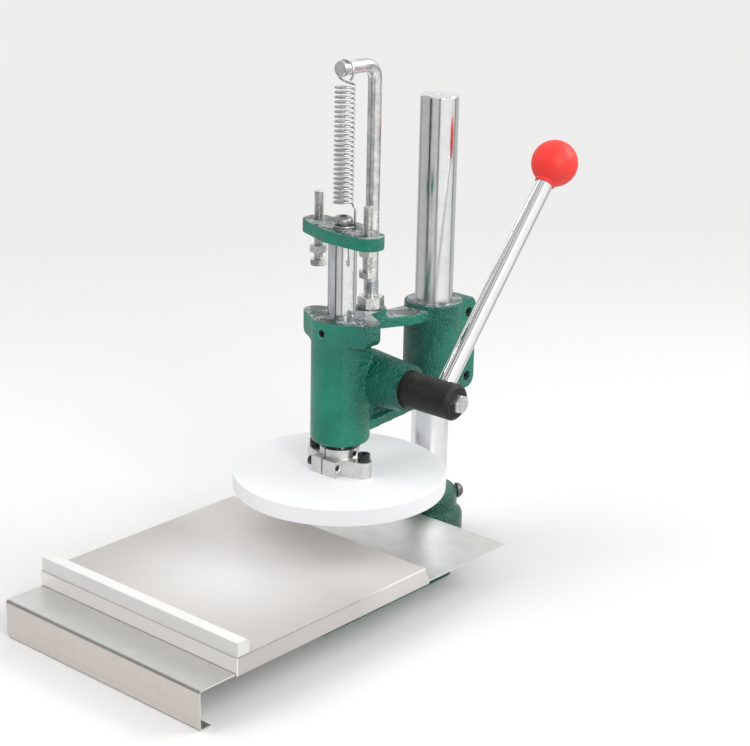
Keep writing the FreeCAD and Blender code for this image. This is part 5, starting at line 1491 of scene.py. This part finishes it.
    def clamp_screw(self, height: float) -> Blank:
        """A socket screw across the clamp's slit."""
        screw = M6_SCREW.head((self.screw_face, self.screw_y, height), X_AXIS)
        return screw.weld(Blank.bar(M6_SHANK, (-17, self.screw_y, height), (12, self.screw_y, height), 32))


@dataclass
class SpringRod:
    """The bent rod behind the ram that carries the spring, with its lock nut."""

    y: float = ROD_Y  # The leg's axis
    radius: float = 7.0  # The rod's radius
    bend: float = 15.5  # Radius of its bend, along its axis
    low: float = 309.0  # Where its plain leg starts, over the threaded foot
    arm_z: float = 532.0  # Height of its arm
    tip: float = -8.2  # Its tip's face
    flange: float = 7.7  # Radius of the flange at the tip
    flange_width: float = 4.6  # Its width
    groove: float = 6.5  # Radius of the groove behind it
    groove_width: float = 7.6  # The groove's width
    thread: Thread = Thread(8.0, 2.0)  # The thread of its foot
    seat: float = HEAD_TOP  # Height of the seat that the nut lies on
    nut: HexSize = HexSize(24.0, 13.0)  # The nut

    def build(self) -> None:
        """The rod and its nut."""
        self.rod().done("spring_rod_bent", Finishes.ROD, Body.HEAD, "spring_rod")
        place, bore, mouth = (0, self.y, self.seat), self.thread.radius + 0.05, 9.2
        nut = self.nut.head(place, Z_AXIS, 20, both=True)
        nut.cut(Blank.turned([(bore, -1), (bore, 12.4), (mouth, 13.6)], place, sides=64))
        nut.crease(0.2, 2, 40).done("spring_rod_lock_nut", Finishes.ZINC, Body.HEAD, "spring_rod_nut")

    def rod(self) -> Blank:
        """Pulled up, spun round the bend and pulled forward, with a groove for the hook and a threaded foot.

        Returns:
            The rod.
        """
        centre = (0, self.y - self.bend, self.arm_z - self.bend)
        bpy.ops.mesh.primitive_circle_add(vertices=48, radius=self.radius, fill_type="NGON",
                                          location=(0, self.y, self.low))
        rod = Blank()
        rod.settle()
        groove, head = self.tip + self.flange_width + self.groove_width, self.tip + self.flange_width
        steps = [(self.radius, groove + 0.5), (self.groove, groove), (self.groove, head), (self.flange, head - 0.01),
                 (self.flange, self.tip + 1.0), (self.flange - 1.1, self.tip)]
        bpy.ops.object.mode_set(mode="EDIT")
        bpy.ops.mesh.select_all(action="SELECT")
        pull((0, 0, centre[2] - self.low))
        bpy.ops.mesh.spin(steps=20, angle=math.radians(90), center=centre, axis=(-1, 0, 0), dupli=False)
        at, wide = centre[1], self.radius
        for radius, y in steps:
            pull((0, y - at, 0))
            if radius != wide:
                share = radius / wide
                bpy.ops.transform.resize(value=(share, 1, share), center_override=(0, y, self.arm_z))
            at, wide = y, radius
        bpy.ops.object.mode_set(mode="OBJECT")
        rod.face_out()
        return rod.join(self.thread.rod((0, self.y, 270.5), Z_AXIS, 41.5, chamfer=1.0, sides=36))


@dataclass
class UpperPlate:
    """The round plate that presses the dough."""

    radius: float = 110.0  # Its radius
    low: float = 101.0  # Its underside
    high: float = PLATE_TOP  # Its upper face
    screw_x: float = 33.0  # From its middle to each of its screw holes

    def build(self) -> None:
        """Turned, with soft corners and two screw holes."""
        r, inner, low, high = self.radius, self.radius - 20, self.low, self.high
        plate = Blank.turned([(inner, low), (r, low), (r, high), (inner, high), (50, high)], sides=256)
        plate.bevel(1.2, 5, lambda edge: all(v.co.xy.length > r - 0.01 for v in edge.verts) and abs(
            edge.verts[0].co.z - edge.verts[1].co.z) < 0.01)
        for side in SIDES:
            plate.bore(M8_HOLE, (side * self.screw_x, 0, low + 5), (side * self.screw_x, 0, high + 6), 32)
        plate.done("plate_disc", Finishes.PLATE, Body.RAM, "upper_plate")


@dataclass
class Collar:
    """The slit collar that clamps the plate to the ram, with its four screws."""

    low: float = PLATE_TOP  # Its foot, on the plate
    flange: float = 17.2  # Height of its flange and clamp block
    height: float = 27.0  # Height of its hub
    radius: float = 20.5  # The hub's radius
    lug: float = 33.0  # Reach of its screw lugs
    lug_radius: float = 8.2  # Their radius
    block: float = 16.0  # Half the clamp block's width
    front: float = -25.3  # The clamp block's front face
    slit: Pair = (-2.3, -0.9)  # The slit's two faces
    cross_y: float = -20.3  # The cross screw's axis in plan
    cross_z: float = 9.6  # Its height over the collar's foot
    grub_z: float = 22.0  # Height of the grub screw over the collar's foot

    def build(self) -> None:
        """The collar and its screws."""
        self.clamp().done("collar_clamp", Finishes.NICKEL, Body.RAM, "collar")
        screw = M6_SCREW.head(self.cross(-self.block), -X_AXIS)
        screw.weld(Blank.bar(M6_SHANK, self.cross(-self.block - 0.5), self.cross(13), 32))
        screw.done("collar_cross_screw", Finishes.BLACK, Body.RAM, "collar_clamp_screw")
        grub = SocketSize(6.0, 2.5, 3.0).grub((self.radius - 1, 0, self.low + self.grub_z), -X_AXIS, 4.8)
        grub.done("collar_set_screw", Finishes.BLACK, Body.RAM, "collar_grub_screw")
        left, right = [self.lug_screw(side * self.lug) for side in SIDES]
        left.join(right).done("collar_lug_screws", Finishes.BLACK, Body.RAM, "collar_plate_screws")

    def cross(self, x: float) -> Triple:
        """The point at x on the cross screw's axis."""
        return x, self.cross_y, self.low + self.cross_z

    def lug_screw(self, x: float) -> Blank:
        """The socket screw through one lug into the plate.

        Args:
            x: Its axis across the press.

        Returns:
            The screw.
        """
        top = self.low + self.flange
        head = M8_SCREW.head((x, 0, top), Z_AXIS, turn=12)
        return head.weld(Blank.bar(M8_SHANK, (x, 0, 107), (x, 0, top + 0.5), 32))

    def clamp(self) -> Blank:
        """Flange, hub and block in one, bored, slit and drilled.

        Returns:
            The collar.
        """
        low, top, over = self.low, self.low + self.flange, self.low + 40
        flange = Blank.link(self.lug, self.lug_radius, self.radius, low, top)
        hub = Blank.turned([(self.radius, low + 1), (self.radius, low + self.height)], sides=96)
        flange.weld(hub, Blank.block((-self.block, self.front, low), (self.block, 0, top)))
        flange.bore(RAM_BORE, (0, 0, low - 2), (0, 0, over))
        flange.cut(Blank.block((self.slit[0], self.front - 1, low - 1), (self.slit[1], 0, over)))
        flange.bore(M6_HOLE, self.cross(-20), self.cross(20), 32)
        flange.cut(Blank.turned([(3.0, 0), (4.3, 1.0), (4.3, 2)], self.cross(15.1), X_AXIS, 32))
        for x in (-self.lug, self.lug):
            flange.bore(M8_HOLE, (x, 0, low - 1), (x, 0, low + 30), 32).bore(6.8, (x, 0, top), (x, 0, over), 48)
        flange.bore(M6_HOLE, (12, 0, low + self.grub_z), (24, 0, low + self.grub_z), 32)
        return flange.crease(0.35, 2, 50)


@dataclass
class Ram:
    """The chromed ram with keyway and rack, and the yoke screwed to its top."""

    radius: float = 14.5  # The ram's radius
    low: float = PLATE_TOP  # Its foot
    high: float = 362.5  # Its shoulder under the yoke
    spigot: float = 9.5  # Radius of the spigot that the yoke sits on
    key: float = 3.0  # Half the keyway's width, and its depth
    key_low: float = 152.0  # Where the keyway starts
    pinion_z: float = PINION_Z  # Height of the pinion
    tooth: float = 2 * math.pi  # Rack pitch
    teeth: tuple[int, int] = (-3, 9)  # The first and the last gap of the rack, counted from the pinion
    tips: float = 12.0  # How far behind the axis the rack's teeth end
    roots: float = 7.5  # How far behind the axis the gaps end
    reach: float = 40.0  # From the ram's axis to a stop bolt's axis
    turn: float = math.radians(-10.6)  # Turn of the yoke on the ram
    yoke_top: float = 375.5  # Height of the yoke's upper face
    raw: float = 0.6  # How much thicker the yoke is cast than ground

    def build(self) -> None:
        """The bar, the yoke and the top screw."""
        self.bar().done("ram_bar", Finishes.RAM, Body.RAM, "ram")
        self.yoke().done("yoke_iron", Finishes.ENAMEL, Body.RAM, "yoke", flat=False)
        self.top_screw().done("ram_round_screw", Finishes.TOP_SCREW, Body.RAM, "ram_top_screw")

    def bar(self) -> Blank:
        """The ground bar, with a milled keyway in front and rack teeth behind.

        Returns:
            The bar.
        """
        r, low, high, key = self.radius, self.low, self.high, self.key
        steps = [(r - 0.6, low), (r, low + 0.6), (r, high - 0.5), (r - 0.5, high), (self.spigot, high),
                 (self.spigot, 375.0)]
        bar = Blank.turned(steps, sides=96)
        keyway = Blank.block((-key, -20, self.key_low), (key, -r + key, high + 2))
        bar.cut(keyway.weld(Blank.bar(key, (0, -20, self.key_low), (0, -r + key, self.key_low), 32)))
        first, last = self.teeth
        rack_low, rack_high = (self.pinion_z + end * self.tooth for end in (first - 0.5, last + 0.5))
        bar.cut(Blank.block((-20, self.tips, rack_low), (20, 20, rack_high)))
        gaps = []
        for index in range(first, last + 1):
            z = self.pinion_z + index * self.tooth
            profile = [(15, z - 3.4), (self.roots, z - 0.75), (self.roots, z + 0.75), (15, z + 3.4)]
            gaps.append(Blank.across(profile, 20))
        return bar.cut(*gaps).bore(M10_HOLE, (0, 0, 354), (0, 0, 380), 32)

    def stop(self, side: int, z: float) -> Vector:
        """The point at a height on the axis of a stop bolt, -1 for the left and 1 for the right."""
        return Vector((side * self.reach * math.cos(self.turn), side * self.reach * math.sin(self.turn), z))

    def yoke(self) -> Blank:
        """The cast cross bar with its three bores.

        Returns:
            The yoke.
        """
        low, high, big = self.high, self.yoke_top, 80
        yoke = Blank.link(self.reach, 16.3, 23.1, low - self.raw, high + self.raw, self.turn).cast(0.9, 3)
        yoke.cut(Blank.block((-big, -big, low - 9), (big, big, low)),
                 Blank.block((-big, -big, high), (big, big, high + 9)))
        yoke.bore(self.spigot + 0.05, (0, 0, low - 2), (0, 0, high + 2), 64)
        for side in SIDES:
            yoke.bore(M10_HOLE, self.stop(side, low - 2), self.stop(side, high + 2), 40)
        return yoke

    def top_screw(self) -> Blank:
        """The round-headed screw whose neck holds the spring's eye.

        Returns:
            The screw.
        """
        top, shank, neck, head, rise = self.yoke_top, 5, 6.5, 10, 6.3
        under = top + 4.7
        steps = [(shank, top - 20), (shank, top - 0.5), (neck, top - 0.5), (neck, under), (head - 0.4, under),
                 (head, under + 0.4), (head, under + 2)]
        steps += quarter_bulge((head, under + 2), (4.95, under + rise))
        return SocketSize(2 * head, rise, 8.0).sink(Blank.turned(steps, sides=80), under + rise, 15)


@dataclass
class Stops:
    """The two stop bolts under the yoke, each with its lock nut."""

    ram: Ram  # The ram group that says where they stand
    bolt: HexSize = HexSize(16.0, 6.4)  # Their heads
    nut: HexSize = HexSize(16.0, 8.0)  # Their lock nuts
    thread: Thread = Thread(5.0, 1.5)  # Their thread
    top: float = 404.0  # Height of their tips
    left: Pair = (327.5, 341.0)  # Heights of the left bolt's and the left nut's undersides
    right: Pair = (333.0, 354.5)  # Those of the right ones

    def build(self) -> None:
        """Both bolts and both nuts."""
        bore, mouth, high = M10_HOLE, 6.0, self.nut.height
        steps = [(mouth, -0.3), (bore, 0.7), (bore, high - 0.7), (mouth, high + 0.3)]
        for side, name, (head_low, nut_low) in ((-1, "left", self.left), (1, "right", self.right)):
            head_top = head_low + self.bolt.height
            head = self.bolt.head(self.ram.stop(side, head_top), -Z_AXIS, 15).crease(0.15, 2, 40)
            shank = self.thread.rod(self.ram.stop(side, head_top - 0.5), Z_AXIS, self.top - head_top + 0.5)
            head.join(shank).done(f"stop_{name}_screw", Finishes.ZINC, Body.RAM, f"stop_bolt_{name}")
            place = self.ram.stop(side, nut_low)
            nut = self.nut.head(place, Z_AXIS, 40 + side * 10, both=True).cut(Blank.turned(steps, place, sides=48))
            nut.crease(0.15, 2, 40).done(f"stop_{name}_lock_nut", Finishes.ZINC, Body.RAM, f"stop_nut_{name}")


@dataclass
class Lever:
    """The pinion shaft with its black hub, and the lever with its ball."""

    y: float = PINION_Y  # The pinion's axis in plan
    z: float = PINION_Z  # Its height
    teeth: int = 17  # How many teeth the pinion has
    root: float = 14.5  # Radius of the pinion between its teeth
    tooth: float = 4.4  # Height of a tooth
    hub_end: float = 130.0  # The hub's outer face, along the pinion
    cap: float = -39.3  # Where the washer's screw sits, at the pinion's far end
    offset: float = 107.0  # The lever's place along the pinion
    radius: float = 9.0  # The lever's radius
    length: float = 273.0  # From the pinion's axis to the ball's centre
    foot: float = 12.9  # How far the lever reaches past the pinion's axis
    lean: float = math.radians(40)  # The lever's lean back from the vertical
    ball: float = 24.0  # The ball's radius
    neck: float = 10.8  # Radius of the ball's neck
    socket: float = 15.0  # How deep the lever sits in the ball, from the neck's side

    def build(self) -> None:
        """Shaft, washer, screws, lever and ball."""
        self.shaft().done("pinion_hub", Finishes.HUB, Body.LEVER, "pinion_shaft")
        washer = Blank.turned([(15.6, 0), (16, 0.4), (16, 2.6), (15.6, 3)], self.at(self.cap + 3), -X_AXIS, 72)
        washer.bore(M8_HOLE, self.at(-30), self.at(-45), 32)
        washer.done("pinion_washer", Finishes.ZINC, Body.LEVER, "pinion_end_washer")
        screw = M8_SCREW.head(self.at(self.cap), -X_AXIS)
        screw.weld(Blank.bar(M8_SHANK, self.at(-40), self.at(-22.3), 32))
        screw.done("pinion_cap_screw", Finishes.BLACK, Body.LEVER, "pinion_end_screw")
        self.rod().done("lever_bar", Finishes.CHROME, Body.LEVER, "lever_rod")
        bolt = HexSize(17.0, 7.0).head(self.at(self.hub_end), X_AXIS, 12).crease(0.2, 2, 40)
        bolt.weld(Blank.bar(M10_SHANK, self.at(116.1), self.at(self.hub_end + 1), 40))
        bolt.done("lever_set_bolt", Finishes.ZINC, Body.LEVER, "lever_clamp_bolt")
        self.knob().done("lever_ball", Finishes.BALL, Body.LEVER, "ball_knob")

    @property
    def way(self) -> Vector:
        """Up the lever at rest."""
        return Vector((0, math.sin(self.lean), math.cos(self.lean)))

    def at(self, x: float) -> Triple:
        """The point at x on the pinion's axis."""
        return x, self.y, self.z

    def on_lever(self, distance: float) -> Vector:
        """A point on the lever's axis, so far from the pinion's axis."""
        return Vector(self.at(self.offset)) + self.way * distance

    def shaft(self) -> Blank:
        """Teeth pulled out of a round bar, two journals and the hub across which the lever stands.

        Returns:
            The shaft.
        """
        end = self.hub_end
        steps = [(10, -36), (10, -15), (self.root, -15), (self.root, 15), (19, 15), (19, 68.3), (18.5, 68.3),
                 (18.5, end - 3), (15.5, end)]
        shaft = Blank.turned(steps, self.at(0), X_AXIS, sides=4 * self.teeth)

        def on_tooth(face: bmesh.types.BMFace) -> bool:
            """Whether a face of the toothed stretch belongs to a tooth."""
            centre = face.calc_center_median()
            if abs(centre.x) > 14 or abs(face.normal.x) > 0.5:
                return False
            angle = math.atan2(centre.z - self.z, centre.y - self.y)
            return (angle / (2 * math.pi) * self.teeth + 0.5) % 1 < 0.5

        shaft.edit(Pick.FACE, on_tooth, lambda: bpy.ops.mesh.extrude_region_shrink_fatten(
            TRANSFORM_OT_shrink_fatten={"value": self.tooth}))
        shaft.bore(self.radius + 0.05, self.on_lever(-13), self.on_lever(40), 64)
        shaft.bore(M10_HOLE, self.at(self.offset), self.at(end + 10), 40).bore(M8_HOLE, self.at(-45), self.at(-20), 32)
        return shaft.crease(0.3, 2, 42)

    def rod(self) -> Blank:
        """The round bar, its ends broken.

        Returns:
            The bar.
        """
        r, first, last, chamfer = self.radius, -self.foot, self.length - self.ball + self.socket - 0.1, 0.6
        steps = [(r - chamfer, first), (r, first + chamfer), (r, last - chamfer), (r - chamfer, last)]
        return Blank.turned(steps, self.on_lever(0), self.way, 72)

    def knob(self) -> Blank:
        """The ball with a short neck, bored for the lever.

        Returns:
            The ball.
        """
        bpy.ops.mesh.primitive_uv_sphere_add(segments=72, ring_count=40, radius=self.ball, location=(0, 0, 0))
        cut_z, neck_end = -math.sqrt(self.ball ** 2 - self.neck ** 2), -self.ball - 0.5
        ball = Blank().slice((0, 0, cut_z), (0, 0, -1))
        ball.edit(Pick.FACE, lambda face: face.normal.z < -0.99 and len(face.verts) > 10,
                  lambda: pull((0, 0, neck_end - cut_z)))
        ball.bevel(0.5, 3, edge_near(neck_end))
        ball.bore(self.radius + 0.05, (0, 0, -40), (0, 0, -self.ball + self.socket), 64)
        return ball.move(aimed(self.on_lever(self.length), self.way))


@dataclass
class ReturnSpring:
    """The extension spring: an eye round the ram's top screw, the coil and a hook over the spring rod."""

    wire: float = 1.1  # Radius of the wire
    coil: float = 9.3  # Radius of the coil, to the wire's middle
    turns: float = 25.0  # How many turns it has
    pitch: float = 4.72  # Rise in one turn
    start: float = math.radians(40)  # Angle of the lowest turn's start
    foot: float = 397.9  # Height of that start
    eye: float = 10.6  # Radius of the eye
    eye_z: float = 376.9  # Height of the eye
    eye_sweep: float = math.radians(290)  # How far round the screw the eye goes
    tail: float = 7.0  # Straight tail before the eye
    rise: float = 16.5  # How far the wire stands up from the eye to the coil
    hook: float = 10.4  # Radius of the hook
    hook_z: float = 529.25  # Height of the hook's centre
    hook_y: float = 0.2  # The hook's plane
    hook_ends: Pair = (215, -48)  # Angles in degrees at which the hook starts and ends

    def build(self) -> None:
        """The wire, bent between the head and the ram."""
        piece = self.bend_wire().done("return_spring_wire", Finishes.WIRE, None, "return_spring", flat=False)
        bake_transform(piece)

    def stations(self) -> list[tuple[Vector, Vector]]:
        """Points and directions along the wire, from the eye's tail to the hook's tip.

        Returns:
            The stations in order.
        """
        out = Vector((math.cos(self.start), math.sin(self.start), 0))
        centre = out * 1.2 + Z_AXIS * self.eye_z
        found = []
        for index in range(5):
            angle = self.start + self.eye_sweep * (1 - index / 4)
            point = centre + Vector((math.cos(angle), math.sin(angle), 0)) * self.eye
            found.append((point, Vector((math.sin(angle), -math.cos(angle), 0))))
        first, way = found[0]
        found.insert(0, (first - way * self.tail, way))
        last, way = found[-1]
        for height in (3.0, self.rise):
            found.append((last + way * 3.0 + Z_AXIS * height, Z_AXIS.copy()))
        slope = self.pitch / (2 * math.pi * self.coil)
        for index in range(int(self.turns * 4) + 1):
            angle = self.start + math.pi / 2 * index
            height = self.foot + self.pitch * index / 4
            point = Vector((self.coil * math.cos(angle), self.coil * math.sin(angle), height))
            found.append((point, Vector((-math.sin(angle), math.cos(angle), slope)).normalized()))
        for index in range(4):
            angle = math.radians(self.hook_ends[0] + (self.hook_ends[1] - self.hook_ends[0]) * index / 3)
            point = Vector((self.hook * math.cos(angle), self.hook_y, self.hook_z + self.hook * math.sin(angle)))
            found.append((point, Vector((math.sin(angle), 0, -math.cos(angle)))))
        return found

    def line(self, steps: int = 7) -> list[Vector]:
        """The wire's middle line, smooth through its stations.

        Args:
            steps: Points in one stretch.

        Returns:
            The points.
        """
        points, stations = [], self.stations()
        for (p, way), (q, after) in zip(stations, stations[1:]):
            turn = way.angle(after)
            reach = (q - p).length / math.cos(turn / 4) ** 2
            for index in range(steps):
                t = index / steps
                a, b = 2 * t ** 3 - 3 * t ** 2 + 1, t ** 3 - 2 * t ** 2 + t
                c, d = -2 * t ** 3 + 3 * t ** 2, t ** 3 - t ** 2
                points.append(p * a + way * (reach * b) + q * c + after * (reach * d))
        return points + [stations[-1][0]]

    def bend_wire(self) -> Blank:
        """The wire as a round tube with flat, closed ends.

        Returns:
            The tube.
        """
        points = self.line()
        bpy.ops.curve.primitive_bezier_curve_add(location=(0, 0, 0))
        curve = bpy.context.object.data
        curve.splines.clear()
        spline = curve.splines.new("POLY")
        spline.points.add(len(points) - 1)
        spline.points.foreach_set("co", [part for point in points for part in (*point, 1.0)])
        curve.dimensions = "3D"
        curve.twist_mode = "MINIMUM"
        curve.bevel_depth = self.wire
        curve.bevel_resolution = 4
        curve.use_fill_caps = True
        bpy.ops.object.convert(target="MESH")
        return Blank().merge(0.001).face_out()


@dataclass
class Room:
    """A pale floor that runs out into a pale room, and soft studio light."""

    floor: Colour = srgb(238, 238, 237)  # The floor's colour
    mottle: Colour = srgb(232, 232, 232)  # Its colour in places
    bounce: Colour = srgb(178, 178, 178)  # Its colour for the light that it throws back at the press
    sky: Colour = srgb(238, 238, 237)  # The room's colour for the camera
    level: float = 0.7  # How strong the room's light is on the object
    near: float = 0.55  # How far from the press the floor is plain paper, in metres
    far: float = 1.9  # Where it has gone over into the room's colour
    mirrored: Pair = (0.35, 0.8)  # Between which distances plated parts cease to mirror the floor
    # What plated parts mirror round the press: degrees from the front towards the lever's side, and grey
    panels: tuple[tuple[int, int], ...] = (
        (-180, 196), (-150, 214), (-104, 200), (-92, 128), (-80, 196), (-26, 188), (-20, 180), (-18, 40), (-7, 40),
        (-4, 200), (34, 210), (38, 112), (44, 112), (47, 252), (96, 255), (140, 236), (146, 120), (151, 120),
        (156, 206), (179, 198))

    def build(self) -> None:
        """Floor, room and lamps."""
        bpy.ops.mesh.primitive_grid_add(size=40, x_subdivisions=8, y_subdivisions=8, location=(0, 0, -0.0003))
        floor = bpy.context.object
        bpy.ops.object.transform_apply(location=True, rotation=True, scale=True)
        floor.name = "floor"
        floor.data.materials.append(self.paper())
        self.surround()
        self.lamp("key", (-1.2, -1.4, 2.2), (0, 0, 0.2), (2.2, 1.8), 31).visible_glossy = False
        self.lamp("fill", (2.2, -0.9, 1.3), (0, 0, 0.25), (0.9, 1.4), 20)
        self.lamp("rim", (1.3, 1.6, 1.7), (0, 0, 0.2), (1.6, 1.0), 26)

    def paper(self) -> bpy.types.Material:
        """Matt paper near the press, which the camera and plated bars see run out into the pale room.

        Returns:
            The material.
        """
        material = bpy.data.materials.new("pale_floor")
        graph = Graph.cleared(material)
        where = graph.place()
        away = graph.length(where)
        camera, glossy, either = self.rays(graph)
        colour = graph.mix(either, self.bounce, self.floor)
        colour = graph.mix(Patches(1.2, 0.3, 0.7, detail=3.0, inside=0.15).over(graph, where), colour, self.mottle)
        paper = graph.add("ShaderNodeBsdfPrincipled", {"Base Color": colour, "Roughness": 0.85}).outputs[0]
        haze = graph.add("ShaderNodeEmission", {"Color": self.sky, "Strength": 1.0}).outputs[0]
        through = graph.add("ShaderNodeBsdfTransparent").outputs[0]
        gone = graph.times(graph.remap(away, self.near, self.far, smooth=True), camera)
        seen = graph.add("ShaderNodeMixShader", {0: gone, 1: paper, 2: haze}).outputs[0]
        open_way = graph.times(graph.remap(away, *self.mirrored), glossy)
        shown = graph.add("ShaderNodeMixShader", {0: open_way, 1: seen, 2: through})
        graph.add("ShaderNodeOutputMaterial", {0: shown.outputs[0]})
        return material

    @staticmethod
    def rays(graph: Graph) -> tuple[Socket, Socket, Socket]:
        """Whether the camera looks, whether plating mirrors, and whether either does."""
        rays = graph.add("ShaderNodeLightPath").outputs
        camera, glossy = rays["Is Camera Ray"], rays["Is Glossy Ray"]
        return camera, glossy, graph.math("MAXIMUM", camera, glossy)

    def surround(self) -> None:
        """A room that lights softly from above, with tall pale panels and dark gaps that plating mirrors."""
        world = bpy.data.worlds.new("studio")
        bpy.context.scene.world = world
        graph = Graph.cleared(world)
        x, y, z = graph.axes(graph.add("ShaderNodeTexCoord").outputs["Generated"])
        angle = graph.math("ARCTAN2", x, graph.times(y, -1.0))
        panels = graph.add("ShaderNodeValToRGB", {0: graph.plus(graph.math("DIVIDE", angle, 2 * math.pi), 0.5)})
        self.hang(panels.color_ramp)
        back_wall = graph.times(graph.remap(z, -0.05, 0.15, 0.0, 0.9), graph.remap(y, -0.1, 0.3))
        ceiling = graph.remap(z, 0.8, 0.97)
        mirrored = graph.mix(graph.math("MAXIMUM", back_wall, ceiling), panels.outputs[0], srgb(248, 248, 248))
        soft = graph.mix(graph.remap(z, -0.1, 0.7), srgb(176, 176, 177), srgb(254, 254, 255))
        camera, glossy, either = self.rays(graph)
        seen = graph.mix(camera, graph.mix(glossy, soft, mirrored), self.sky)
        strength = graph.add("ShaderNodeMix", {0: either, 2: self.level, 3: 1.0}).outputs[0]
        background = graph.add("ShaderNodeBackground", {0: seen, 1: strength})
        graph.add("ShaderNodeOutputWorld", {0: background.outputs[0]})

    def hang(self, ramp: bpy.types.ColorRamp) -> None:
        """Hangs the panels round the press."""
        ramp.interpolation = "LINEAR"
        while len(ramp.elements) < len(self.panels):
            ramp.elements.new(0.5)
        for element, (angle, grey) in zip(ramp.elements, self.panels):
            element.position = angle / 360 + 0.5
            element.color = srgb(grey, grey, grey)

    def lamp(self, name: str, place: Point, target: Point, size: Pair,
             power: float) -> bpy.types.Object:
        """A soft box.

        Args:
            name: The lamp's name.
            place: Where it hangs.
            target: What it is aimed at.
            size: Its width and height.
            power: Its power in watts.

        Returns:
            The lamp.
        """
        bpy.ops.object.light_add(type="AREA", location=place)
        lamp = bpy.context.object
        lamp.name = name
        lamp.rotation_euler = (Vector(target) - Vector(place)).to_track_quat("-Z", "Y").to_euler()
        lamp.data.shape = "RECTANGLE"
        lamp.data.size, lamp.data.size_y = size
        lamp.data.energy = power
        return lamp


@dataclass
class PhotoCamera:
    """The camera as the photograph was taken."""

    eye: tuple[float, float, float] = (1.2133, -1.3527, 0.8434)  # Where it stands, in metres
    azimuth: float = 40.80  # Its turn from the front towards the lever's side, in degrees
    elevation: float = 18.84  # Its height angle, in degrees
    roll: float = 1.20  # Its roll, in degrees
    focal_pixels: float = 1895.15  # Its focal length in pixels of the photograph
    sensor: float = 36.0  # Sensor width, in millimetres

    def build(self) -> None:
        """Adds the camera and makes it the scene's."""
        turn, rise, roll = (math.radians(value) for value in (self.azimuth, self.elevation, self.roll))
        back = Vector((math.sin(turn) * math.cos(rise), -math.cos(turn) * math.cos(rise), math.sin(rise)))
        right = Vector((math.cos(turn), math.sin(turn), 0))
        up = back.cross(right)
        side = right * math.cos(roll) + up * math.sin(roll)
        high = up * math.cos(roll) - right * math.sin(roll)
        bpy.ops.object.camera_add()
        camera = bpy.context.object
        camera.name = "photo_camera"
        camera.data.sensor_fit = "HORIZONTAL"
        camera.data.sensor_width = self.sensor
        camera.data.lens = self.focal_pixels / IMAGE_WIDTH * self.sensor
        camera.data.clip_end = 100
        axes = Matrix((side, high, back)).transposed().to_4x4()
        camera.matrix_world = Matrix.Translation(self.eye) @ axes
        bpy.context.scene.camera = camera


def main() -> None:
    """Builds the press, the room and the camera."""
    logging.basicConfig(level=logging.INFO, format="%(message)s")
    PhotoCamera().build()
    Room().build()
    ram = Ram()
    for group in (Tray(), LowerMould(), Foot(), Head(), SpringRod(), ram, Collar(), UpperPlate(), Stops(ram), Lever(),
                  ReturnSpring()):
        group.build()
    bpy.context.scene.view_settings.view_transform = "Standard"
    bpy.context.view_layer.update()


if __name__ == "__main__":
    main()
